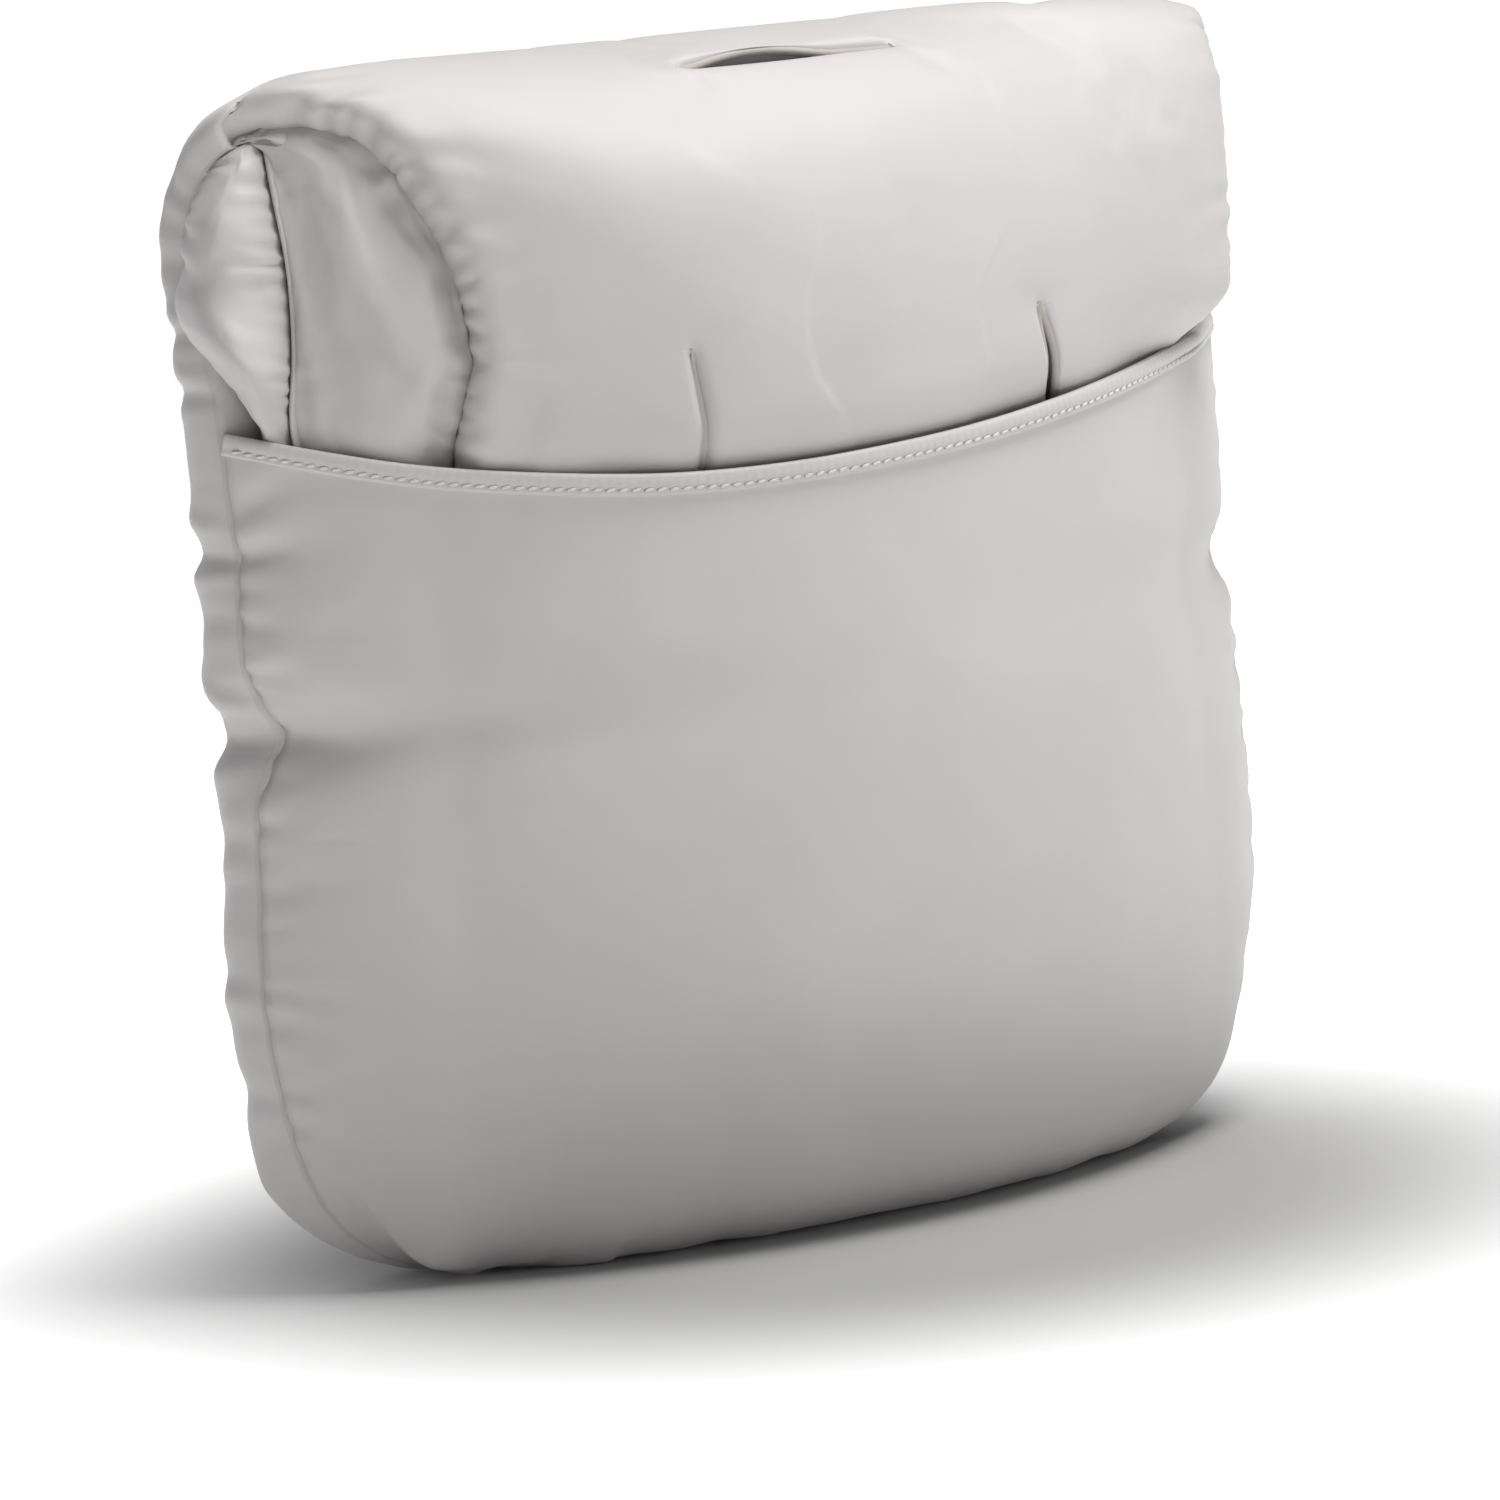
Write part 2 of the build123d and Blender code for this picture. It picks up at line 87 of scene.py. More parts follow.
def along(table, value):
    """Smooth reading of a short table of (value, size) pairs."""
    keys = [row[0] for row in table]
    if value <= keys[0]:
        return table[0][1]
    if value >= keys[-1]:
        return table[-1][1]
    k = max(i for i, key in enumerate(keys) if key <= value)
    before, after = table[max(k - 1, 0)], table[min(k + 2, len(table) - 1)]
    (x0, y0), (x1, y1) = table[k], table[k + 1]
    t, run = (value - x0) / (x1 - x0), x1 - x0
    m0 = (y1 - before[1]) / (x1 - before[0]) * run
    m1 = (after[1] - y0) / (after[0] - x0) * run
    return (
        (2 * t**3 - 3 * t**2 + 1) * y0 + (t**3 - 2 * t**2 + t) * m0
        + (3 * t**2 - 2 * t**3) * y1 + (t**3 - t**2) * m1
    )


def rounded(gap, reach):
    """0 at an edge, 1 from reach on, as round as a quarter circle between."""
    return sqrt(max(1 - (1 - min(gap / reach, 1)) ** 2, 0))


def bow(x, spread):
    """How far a bowed front falls back at x."""
    return spread - sqrt(spread**2 - min(abs(x), spread - 1) ** 2)


# ---- finishes ----
def finish_material(name):
    material = bpy.data.materials.new(name)
    material.use_nodes = True
    nodes, links = material.node_tree.nodes, material.node_tree.links
    nodes.clear()
    shader = nodes.new("ShaderNodeBsdfPrincipled")
    output = nodes.new("ShaderNodeOutputMaterial")
    links.new(shader.outputs["BSDF"], output.inputs["Surface"])
    return material, nodes, links, shader


def set_inputs(node, values):
    for name, value in values.items():
        node.inputs[name].default_value = value


def noise_node(nodes, links, place, scale, detail):
    node = nodes.new("ShaderNodeTexNoise")
    set_inputs(node, {"Scale": scale, "Detail": detail})
    links.new(place.outputs["Object"], node.inputs["Vector"])
    return node.outputs["Fac"]


def bump_node(nodes, links, height, strength, distance):
    node = nodes.new("ShaderNodeBump")
    set_inputs(node, {"Strength": strength, "Distance": distance})
    links.new(height, node.inputs["Height"])
    return node


def smooth_range(nodes, links, source, given, wanted):
    """A smooth step: the given range of a socket becomes the wanted range."""
    node = nodes.new("ShaderNodeMapRange")
    node.interpolation_type = "SMOOTHSTEP"
    set_inputs(node, dict(zip(("From Min", "From Max", "To Min", "To Max"), given + wanted)))
    links.new(source, node.inputs["Value"])
    return node.outputs["Result"]


def cloth_finish(name, pale, deep, weave, rough, sheen, relief):
    """Woven cloth: two crossed yarns in the relief, and slow variation of tint and gloss."""
    material, nodes, links, shader = finish_material(name)
    place = nodes.new("ShaderNodeTexCoord")
    slow = noise_node(nodes, links, place, 14.0, 5.0)
    tint = nodes.new("ShaderNodeValToRGB")
    tint.color_ramp.elements[0].position, tint.color_ramp.elements[1].position = 0.3, 0.72
    tint.color_ramp.elements[0].color = (*deep, 1.0)
    tint.color_ramp.elements[1].color = (*pale, 1.0)
    links.new(slow, tint.inputs["Fac"])
    links.new(tint.outputs["Color"], shader.inputs["Base Color"])
    gloss = nodes.new("ShaderNodeMapRange")
    set_inputs(gloss, {"To Min": rough - 0.05, "To Max": rough + 0.06})
    links.new(slow, gloss.inputs["Value"])
    links.new(gloss.outputs["Result"], shader.inputs["Roughness"])
    heights = []
    for axis in ("X", "Y"):
        yarn = nodes.new("ShaderNodeTexWave")
        yarn.bands_direction = axis
        set_inputs(yarn, {"Scale": weave, "Distortion": 0.6})
        links.new(place.outputs["UV"], yarn.inputs["Vector"])
        heights.append(yarn.outputs["Fac"])
    cross = nodes.new("ShaderNodeMath")
    cross.operation = "MAXIMUM"
    links.new(heights[0], cross.inputs[0])
    links.new(heights[1], cross.inputs[1])
    crumple = noise_node(nodes, links, place, 70.0, 6.0)
    fine = bump_node(nodes, links, cross.outputs["Value"], 0.25, relief)
    soft = bump_node(nodes, links, crumple, 0.12, 0.0012)
    links.new(fine.outputs["Normal"], soft.inputs["Normal"])
    links.new(soft.outputs["Normal"], shader.inputs["Normal"])
    set_inputs(shader, {"Sheen Weight": sheen, "Sheen Roughness": 0.45, "Specular IOR Level": 0.4})
    return material


satin = cloth_finish("satin_cloth", (0.555, 0.539, 0.537), (0.52, 0.504, 0.502), 0.9, 0.46, 0.15, 0.0002)
lining = cloth_finish("lining_cloth", (0.52, 0.505, 0.495), (0.48, 0.465, 0.455), 0.7, 0.7, 0.3, 0.0003)
ribbon = cloth_finish("slot_binding", (0.44, 0.415, 0.395), (0.39, 0.37, 0.355), 0.5, 0.6, 0.2, 0.0003)
thread = cloth_finish("thread", (0.66, 0.64, 0.63), (0.60, 0.585, 0.575), 0.3, 0.55, 0.2, 0.0001)


# ---- mesh helpers ----
def placed(name, data):
    """A new object in the scene."""
    thing = bpy.data.objects.new(name, data)
    bpy.context.collection.objects.link(thing)
    return thing


def cloth_piece(name, points, faces, finishes, picks=None, spread=None):
    """A mesh from points in mm, x, depth from the seam plane and height."""
    mesh = bpy.data.meshes.new(name)
    verts = [(x * 0.001, (y + SEAM_PLANE) * 0.001, z * 0.001) for x, y, z in points]
    mesh.from_pydata(verts, [], faces)
    for finish in finishes:
        mesh.materials.append(finish)
    if picks is not None:
        mesh.polygons.foreach_set("material_index", picks)
    if spread is not None:
        layer = mesh.uv_layers.new(name="cut")
        for loop in mesh.loops:
            layer.data[loop.index].uv = spread[loop.vertex_index]
    mesh.validate()
    mesh.update()
    piece = placed(name, mesh)
    smooth(piece)
    return piece


def smooth(piece):
    piece.data.polygons.foreach_set("use_smooth", [True] * len(piece.data.polygons))


def only(piece):
    bpy.ops.object.select_all(action="DESELECT")
    piece.select_set(True)
    bpy.context.view_layer.objects.active = piece


def outward(piece):
    work = bmesh.new()
    work.from_mesh(piece.data)
    bmesh.ops.recalc_face_normals(work, faces=work.faces)
    work.to_mesh(piece.data)
    work.free()


def trim_piece(name, points, faces, finish):
    """A small mesh from points in metres, in the shared frame."""
    mesh = bpy.data.meshes.new(name)
    mesh.from_pydata([tuple(p) for p in points], [], faces)
    mesh.materials.append(finish)
    piece = placed(name, mesh)
    outward(piece)
    smooth(piece)
    return piece


def ring_faces(rings, count, first=0, closed=False):
    """Faces between each ring of points and the next, with count points to a ring."""
    faces = []
    for n in range(rings if closed else rings - 1):
        here, ahead = first + n * count, first + (n + 1) % rings * count
        for k in range(count):
            turn = (k + 1) % count
            faces.append((here + k, here + turn, ahead + turn, ahead + k))
    return faces


def corners(row, column):
    """The four corners of one cell of a grid."""
    return (row, column), (row, column + 1), (row + 1, column + 1), (row + 1, column)


def layer_faces(index, layers, rows, wide):
    """Faces of the two layers of a grid of cells, the second layer turned over."""
    faces = []
    for layer in layers:
        for row in range(rows):
            for column in range(wide):
                quad = [index[layer, r, c] for r, c in corners(row, column)]
                faces.append(quad if layer == layers[0] else quad[::-1])
    return faces


def puff(piece, held, loose, growth, hold, pressure=3.0, frames=18, cap=9.0):
    """Blows the piece up as padding does. held maps a vertex to how firmly it is sewn,
    loose to how much spare cloth it has."""
    only(piece)
    for name, weights in (("sewn", [max(weight, hold) for weight in held]), ("spare", loose)):
        group = piece.vertex_groups.new(name=name)
        for index, weight in enumerate(weights):
            group.add([index], float(weight), "REPLACE")
    start = spots_of(piece)
    cloth = piece.modifiers.new("padding", "CLOTH")
    settings = cloth.settings
    settings.quality = 6
    settings.mass = 0.25
    settings.tension_stiffness = settings.compression_stiffness = 18
    settings.shear_stiffness = 6
    settings.bending_stiffness = 0.08
    settings.vertex_group_mass = "sewn"
    settings.pin_stiffness = 1.0
    settings.vertex_group_shrink = "spare"
    settings.shrink_min = 0.0
    settings.shrink_max = -growth
    settings.use_pressure = True
    settings.uniform_pressure_force = pressure
    settings.effector_weights.gravity = 0
    cloth.collision_settings.use_collision = False
    cloth.point_cache.frame_start, cloth.point_cache.frame_end = 1, frames
    for step in range(1, frames + 1):
        bpy.context.scene.frame_set(step)
    bpy.ops.object.modifier_apply(modifier="padding")
    bpy.context.scene.frame_set(1)
    move = spots_of(piece) - start
    length = np.linalg.norm(move, axis=1, keepdims=True)
    limit = cap * 0.001
    move *= np.where(length > 1e-9, limit * np.tanh(length / limit) / np.maximum(length, 1e-9), 0.0)
    piece.data.vertices.foreach_set("co", (start + move).ravel())
    piece.vertex_groups.clear()
    piece.data.update()


def finer(piece, levels=1):
    only(piece)
    detail = piece.modifiers.new("finer", "SUBSURF")
    detail.levels = detail.render_levels = levels
    bpy.ops.object.modifier_apply(modifier="finer")
    smooth(piece)


def note(piece, **values):
    """Keeps a number for every vertex, so that it lasts through the subdivision."""
    for name, numbers in values.items():
        layer = piece.data.attributes.new(name, "FLOAT", "POINT")
        layer.data.foreach_set("value", np.asarray(numbers, dtype=np.float32))


def noted(piece, name):
    numbers = np.empty(len(piece.data.vertices), dtype=np.float32)
    piece.data.attributes[name].data.foreach_get("value", numbers)
    return numbers.astype(float)


def gathers(start, end, step, seed, depth=(0.7, 2.0), reach=(7, 26), width=(1.8, 3.4)):
    """Random gathers along a seam: place, depth, reach, width and lean of each."""
    rng = random.Random(seed)
    place, folds = start + step * 0.5, []
    while place < end:
        folds.append((place, rng.uniform(*depth) * rng.choice((0.6, 1, 1)), rng.uniform(*reach),
                      rng.uniform(*width), rng.uniform(-0.35, 0.35)))
        place += step * rng.uniform(0.6, 1.5)
    return folds


def gather_height(run, gap, folds):
    """Height that sewn-in gathers give the cloth, in mm: narrow valleys with a swell beside them."""
    height = np.zeros_like(run)
    for place, depth, reach, width, lean in folds:
        near = np.abs(run - place) < 40
        r, g = run[near], gap[near]
        wide = width * (1 + g / 14)
        off = (r - place - lean * g) / wide
        fade = np.exp(-((g / reach) ** 1.5)) * (1 - 0.5 * np.exp(-g / 1.5))
        height[near] += depth * fade * (0.55 * np.exp(-((np.abs(off) - 1.9) ** 2)) - np.exp(-off * off))
    return height


def slow_waves(points, size, seed):
    """Soft unevenness of the padding, in mm."""
    shift = Vector((seed * 3.1, seed * 1.7, seed * 2.3))
    return np.array([noise.noise(Vector(p) * size + shift) for p in points])


def raise_cloth(piece, height):
    """Moves every vertex along its normal by a height in mm."""
    spots, normals = spots_of(piece), np.empty(len(piece.data.vertices) * 3)
    piece.data.vertex_normals.foreach_get("vector", normals)
    spots += normals.reshape(-1, 3) * height[:, None] * 0.001
    spots[:, 2] = np.maximum(spots[:, 2], 0.0004)
    piece.data.vertices.foreach_set("co", spots.ravel())
    piece.data.update()


def spots_of(piece):
    spots = np.empty(len(piece.data.vertices) * 3)
    piece.data.vertices.foreach_get("co", spots)
    return spots.reshape(-1, 3)


# ---- the folded body: one long pad, over the ridge and down into the pouch ----
# Stations: below -90 the standing pad, -90 to 0 the back of the fold, 0 to 90 the front
# of the fold in degrees, and past 90 the millimetres below its shoulder.
FOLD_ENDS = (
    (-90, 246), (-60, 246), (-30, 243), (-12, 241), (0, 235), (8, 224), (17, 206), (26, 192),
    (38, 183), (49, 177), (65, 168), (80, 163), (92, 162), (106, 166), (125, 169), (170, 160),
    (258, 140),
)
# How much further the right end reaches, by station.
RIGHT_REACH = (
    (-30, 0), (-12, 1), (0, 4), (17, 22), (38, 40), (65, 53), (92, 55), (108, 44), (124, 18),
    (138, 6), (156, 0), (258, 0),
)
# Side, height, depth and reach of the places where the side seam is pulled in.
SIDE_PULLS = (
    (-1, 228, 15, 17), (-1, 302, 2.5, 16), (1, 246, 8, 18), (-1, 60, 3, 30), (-1, 124, -4, 40),
    (1, 130, -3, 60),
)
# Height, depth, reach, width and lean of the creases that run in from the side seams.
SIDE_CREASES = (
    (302, 3.8, 27, 3.6, 0.18), (309, 1.6, 20, 2.6, 0.3), (228, 5.0, 34, 5.5, 0.28),
    (236, 2.2, 30, 3.2, 0.55), (368, 2.2, 26, 3.2, 0.2), (392, 1.8, 24, 3.0, 0.1),
    (130, 1.2, 30, 4.0, 0.1),
)


def low_edge(side, x):
    """Height of the rounded bottom outline at x."""
    radius = LEFT_CORNER if side < 0 else RIGHT_CORNER
    past = abs(x) - (SIDE_SEAM - radius)
    return 0.0 if past <= 0 else radius - sqrt(max(radius**2 - past**2, 0.0))


def side_pull(side, z):
    """How far the side seam is pulled in at a height."""
    return sum(
        pull * exp(-(((z - height) / reach) ** 2))
        for pull_side, height, pull, reach in SIDE_PULLS if pull_side == side
    )


def seam_half(side, z):
    """Half width of the side seam at a height."""
    radius = LEFT_CORNER if side < 0 else RIGHT_CORNER
    drop = max(radius - z, 0.0)
    return SIDE_SEAM - radius + sqrt(max(radius**2 - drop**2, 0.0)) - side_pull(side, z)


def fold_half(side, station):
    """Half width of the folded body at a station."""
    if station <= -90:
        return seam_half(side, station - FOOT_STATION)
    return along(FOLD_ENDS, station) + (along(RIGHT_REACH, station) if side > 0 else 0)


def ridge_drop(x):
    """How far the ridge lies below its top at x: rounded ends, and a slight lean to the right."""
    past = min(max(abs(x) - RIDGE_FLAT, 0.0), RIDGE_ROUND - 1)
    lean = 3.0 * ease(x, 60, 150)
    return RIDGE_ROUND - sqrt(RIDGE_ROUND**2 - past**2) + lean - 1.5 * cos(min(abs(x) / 180, 1) * pi / 2)


def back_depth(x):
    return PAD_BACK - 7 + 4 * (x / 250) ** 4


def fold_front(x):
    return FOLD_FRONT + bow(x, FOLD_SPREAD) * (1 - 0.34 * ease(x, 110, 220))


def tuck_front(x):
    return TUCK_FRONT + bow(x, TUCK_SPREAD)


def mouth_height(x):
    return along(MOUTH, x)


def full_front(turn, x, inset):
    """Depth of the roll at a turn: an arc from the ridge that stays full to its ends."""
    middle = RIDGE_DEPTH + (FOLD_FRONT + inset - RIDGE_DEPTH) * sin(turn)
    end = fold_front(x) + inset
    own = RIDGE_DEPTH + (end - RIDGE_DEPTH) * sin(turn) ** 0.75
    soft = 26 * sqrt(max(cos(turn), 0.0)) + 0.01
    full = max(middle, end) + soft * 0.25 * max(1 - abs(middle - end) / soft, 0) ** 2
    return 0.45 * own + 0.55 * full


def over_ridge(station, x, back, inset, top):
    """A face at stations -90 to 90: its depth behind, its inset in front and its highest point."""
    if station <= 0:
        turn = radians(90 + station)
        return RIDGE_DEPTH + (back - RIDGE_DEPTH) * cos(turn), PAD_TOP + (top - PAD_TOP) * sin(turn)
    turn = radians(station)
    return full_front(turn, x, inset), SHOULDER + (top - SHOULDER) * cos(turn)


def outer_face(station, x, side):
    """Outer face of the folded body."""
    if station <= -90:
        z = station - FOOT_STATION
        foot = low_edge(side, x)
        if z < FOOT_EDGE:
            return PAD_FACE + (PAD_FOOT - PAD_FACE) * (z / FOOT_EDGE), 0.4 + foot
        rise = (z - FOOT_EDGE) / (FOOT_RISE - FOOT_EDGE)
        full = back_depth(x)
        if rise < 1:
            turn = rise * pi / 2
            return PAD_FOOT + (full - PAD_FOOT) * sin(turn), max(FOOT_RISE * (1 - cos(turn)), foot)
        return full, z
    if station <= 90:
        return over_ridge(station, x, back_depth(x), 0, RIDGE_TOP - ridge_drop(x))
    z = SHOULDER - (station - 90)
    tuck = 1 - ease(z - mouth_height(x), -10, 22)
    return fold_front(x) * (1 - tuck) + tuck_front(x) * tuck, z


def seam_face(station, x, side):
    """Where the side seam runs, and the middle of the layer."""
    if station <= -90:
        z = station - FOOT_STATION
        return along(((0, PAD_FACE), (345, PAD_FACE), (368, 0.0), (395, 8.0), (415, 15.0)), z), z
    if station <= 90:
        return over_ridge(station, x, 15, 14, RIDGE_TOP - 15 - ridge_drop(x))
    depth, z = outer_face(station, x, side)
    return min(depth + 13, TUCK_SEAM), z


def inner_face(station, x, side):
    """Inner face of the folded body."""
    if station <= -90:
        return PAD_FACE + 0.5, station - FOOT_STATION
    if station <= 90:
        return over_ridge(station, x, PAD_FACE + 0.5, 24, 465)
    depth, z = outer_face(station, x, side)
    return min(depth + 23, TUCK_LINING), z


def fold_stations():
    """Rows of the folded body, from its foot to its tucked end."""
    rows = [FOOT_STATION + z for z in (0, 1.5, 4, 7, 10, 14, 19, 25, 31, 38)]
    rows += list(np.linspace(FOOT_STATION + 44, -90, 64))
    rows += list(np.linspace(-90, 0, 15))[1:]
    rows += list(np.linspace(0, 90, 35))[1:]
    rows += list(np.linspace(90, TUCK_STATION, 41))[1:]
    return rows


def columns(half_left, half_right, count=88):
    """x of every column between two side seams, close together where the edge rolls."""
    left = [-(half_left - d) for d in EDGE_ROLL]
    right = [half_right - d for d in reversed(EDGE_ROLL)]
    middle = list(np.linspace(left[-1], right[0], count + 1))[1:-1]
    return left + middle + right


def folded_body():
    """The long pad as two layers of a grid, joined at its border and around its three slots."""
    stations = fold_stations()
    wide = len(columns(200, 200))
    last_row = len(stations) - 1
    roll = EDGE_ROLL[-1]
    points, cuts, rim, runs, gaps = [], [], [], [], []
    index = {}
    waist_line = columns(fold_half(-1, 130), fold_half(1, 130))
    waist = [min(range(wide), key=lambda k: abs(waist_line[k] - x)) for x in (WAIST_SLOT, -WAIST_SLOT)]
    for layer in ("outer", "inner"):
        for row, station in enumerate(stations):
            left, right = fold_half(-1, station), fold_half(1, station)
            line = columns(left, right)
            steady = ease(station, 66, 92) * (1 - ease(station, 200, 240))
            knots = [-left, line[waist[1]], line[waist[0]], right]
            aims = [-left, *(start + lean * (station - 102) for start, lean in WAIST_AIMS), right]
            end = (TUCK_STATION - station) if station > 200 else 99.0
            for column, x in enumerate(line):
                border = row in (0, last_row) or column in (0, wide - 1)
                if border and layer == "inner":
                    index[layer, row, column] = index["outer", row, column]
                    continue
                side = -1 if x < 0 else 1
                edge = min(x + left, right - x)
                across = (1 - (1 - min(edge / roll, 1)) ** 2.4) ** (1 / 2.4)
                x += steady * (float(np.interp(x, knots, aims)) - x)
                fill = across * rounded(end, 16)
                seam_y, seam_z = seam_face(station, x, side)
                face = outer_face if layer == "outer" else inner_face
                face_y, face_z = face(station, x, side)
                y = seam_y + (face_y - seam_y) * fill
                z = seam_z + (face_z - seam_z) * fill
                lobe = 2 * across * sqrt(max(1 - across**2, 0))
                swell = 10.0 - 1.5 * ease(station, -90, -20) - 4.0 * ease(station, 0, 60)
                if station < -90:
                    swell += max(side_pull(side, station - FOOT_STATION), 0) * 0.9
                if layer == "outer":
                    x += side * swell * lobe
                index[layer, row, column] = len(points)
                points.append((x, y, max(z, LOWEST)))
                cuts.append((x, station * (2.0 if 0 < station < 90 else 1.0)))
                rim.append(edge if layer == "outer" else edge + 6)
                runs.append(station * (1.9 if 0 < station < 90 else 1.0) + (0 if side < 0 else RIGHT_RUN))
                rolled = edge + 9 * (1 - (1 - min(edge / roll, 1)) ** 2)
                gaps.append(rolled if layer == "outer" else 200)
    # slots: crossing two rows or two columns, open through both layers
    level = min(range(len(stations)), key=lambda k: abs(stations[k] - 25.0))
    low_rows = [k for k, s in enumerate(stations) if 93 <= s <= 175]
    crotch_line = columns(fold_half(-1, stations[level]), fold_half(1, stations[level]))
    crotch = [k for k, x in enumerate(crotch_line) if abs(x) <= 55]
    slits = [("crotch", [(level, k) for k in crotch])]
    slits += [(name, [(k, column) for k in low_rows]) for name, column in zip(("right", "left"), waist)]
    twin, walls, held_extra, slit_lines = {}, [], {}, {}
    for name, cells in slits:
        for layer in ("outer", "inner"):
            for place, (row, column) in enumerate(cells):
                old = index[layer, row, column]
                x, y, z = points[old]
                if layer == "outer":
                    ox, oy, oz = points[index["inner", row, column]]
                    span = sqrt((ox - x) ** 2 + (oy - y) ** 2 + (oz - z) ** 2)
                    x, y, z = (a + (b - a) * LIP_SINK / span for a, b in ((x, ox), (y, oy), (z, oz)))
                points[old] = (x, y, z)
                held_extra[old] = 1.0
                if 0 < place < len(cells) - 1:
                    twin[layer, row, column] = len(points)
                    held_extra[len(points)] = 1.0
                    t = place / (len(cells) - 1)
                    open_ = sin(pi * t) ** 0.8
                    if name == "crotch":
                        gape = 0.8 * open_ + 4.0 * sin(pi * min(t / 0.72, 1)) ** 1.2
                        points[old] = (x, y - gape * 0.8, z - gape * 0.5)
                        points.append((x, y + gape * 1.2, z + gape * 1.35))
                    else:
                        gape = WAIST_GAPE[name] * open_
                        points[old] = (x - gape, y, z)
                        points.append((x + gape, y, z))
                    cuts.append(cuts[old])
                    rim.append(rim[old])
                    runs.append(runs[old])
                    gaps.append(gaps[old])
        for cell, after in zip(cells, cells[1:]):
            wall = [("outer", *cell), ("outer", *after), ("inner", *after), ("inner", *cell)]
            walls.append([index[key] for key in wall])
            walls.append([twin.get(key, index[key]) for key in reversed(wall)])
        lips = [("outer", *cell) for cell in cells]
        slit_lines[name] = [(index[key], twin.get(key, index[key])) for key in lips]
    faces, picks = [], []
    for layer in ("outer", "inner"):
        for row in range(last_row):
            for column in range(wide - 1):
                quad = []
                for r, c in corners(row, column):
                    key = (layer, r, c)
                    # a twin belongs to the cells on one side of its slot
                    past = row == level - 1 if r == level else column == c
                    quad.append(twin[key] if key in twin and past else index[key])
                faces.append(quad if layer == "outer" else quad[::-1])
                picks.append(0 if layer == "outer" else 1)
    for quad in walls:
        clean = list(dict.fromkeys(quad))
        if len(clean) > 2:
            faces.append(clean)
            picks.append(0)
    piece = cloth_piece("folded_body", points, faces, [satin, lining], picks, cuts)
    outward(piece)
    note(piece, seam_run=runs, seam_gap=gaps)
    held, loose = [], []
    for number, edge in enumerate(rim):
        sewn = 1.0 if edge <= 0.01 else 0.0
        held.append(max(sewn, held_extra.get(number, 0.0), 0.6 if gaps[number] > 199 else 0.0))
        loose.append(1 - ease(edge, 8, 34))
    return piece, held, loose, slit_lines


body, body_held, body_loose, slit_lines = folded_body()
puff(body, body_held, body_loose, growth=0.10, hold=0.03, pressure=2.5, cap=7)
finer(body)


def crease_body():
    """Gathers along both end seams, the pulled-in places of the side and the slow swell of the fill."""
    run, gap = noted(body, "seam_run"), noted(body, "seam_gap")
    folds = []
    for begin, pad_seed, fold_seed in ((0, 3, 5), (RIGHT_RUN, 8, 9)):
        folds += gathers(begin - 500, begin - 40, 23, pad_seed, (0.1, 1.0), (6, 26), (2.4, 5.0))
        folds += gathers(begin + 24, begin + 300, 10, fold_seed, (0.8, 2.9), (7, 26), (1.5, 3.4))
    for height, depth, reach, width, lean in SIDE_CREASES:
        folds.append((height + FOOT_STATION, depth, reach, width, lean))
        folds.append((height + 14 + RIGHT_RUN + FOOT_STATION, depth * 0.8, reach, width, -lean))
    swell = 1.6 * slow_waves(spots_of(body), 9.0, 1) + 0.7 * slow_waves(spots_of(body), 22.0, 2)
    side_run = np.where(run > RIGHT_RUN / 2, run - RIGHT_RUN, run)
    band_near = np.clip((side_run + 60) / 60, 0, 1) * 1.5 * np.exp(-(((gap - 12) / 7) ** 2))
    swell *= np.clip(gap / 30, 0, 1) * np.where(gap > 150, 0.2, 1.0)
    raise_cloth(body, gather_height(run, gap, folds) + swell + band_near)


crease_body()
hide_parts("back_shell", "back_wadding", "inner_lining", "rear_fold_shell", "rear_fold_wadding",
            "front_shell", "front_wadding", "front_lining", "left_edge_rim", "right_edge_rim")
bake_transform(body)


# ---- the pouch ----
def pouch_rows():
    """Share of the full depth, height in the middle and height at the side seam, row by row."""
    rows = [(share, 0.0, z) for share, z in ((0, 0), (0.12, 3), (0.24, 6), (0.34, 9), (0.42, 12), (0.48, 15))]
    foot = (PAD_FACE - POUCH_FOOT) / (PAD_FACE - POUCH_FRONT)
    for k in range(23):
        turn = k / 22 * pi / 2
        share = foot + (1 - foot) * sin(turn) ** 0.9
        rows.append((share, POUCH_FULL * (1 - cos(turn)), 18 + (POUCH_FULL - 18) * k / 22))
    return rows


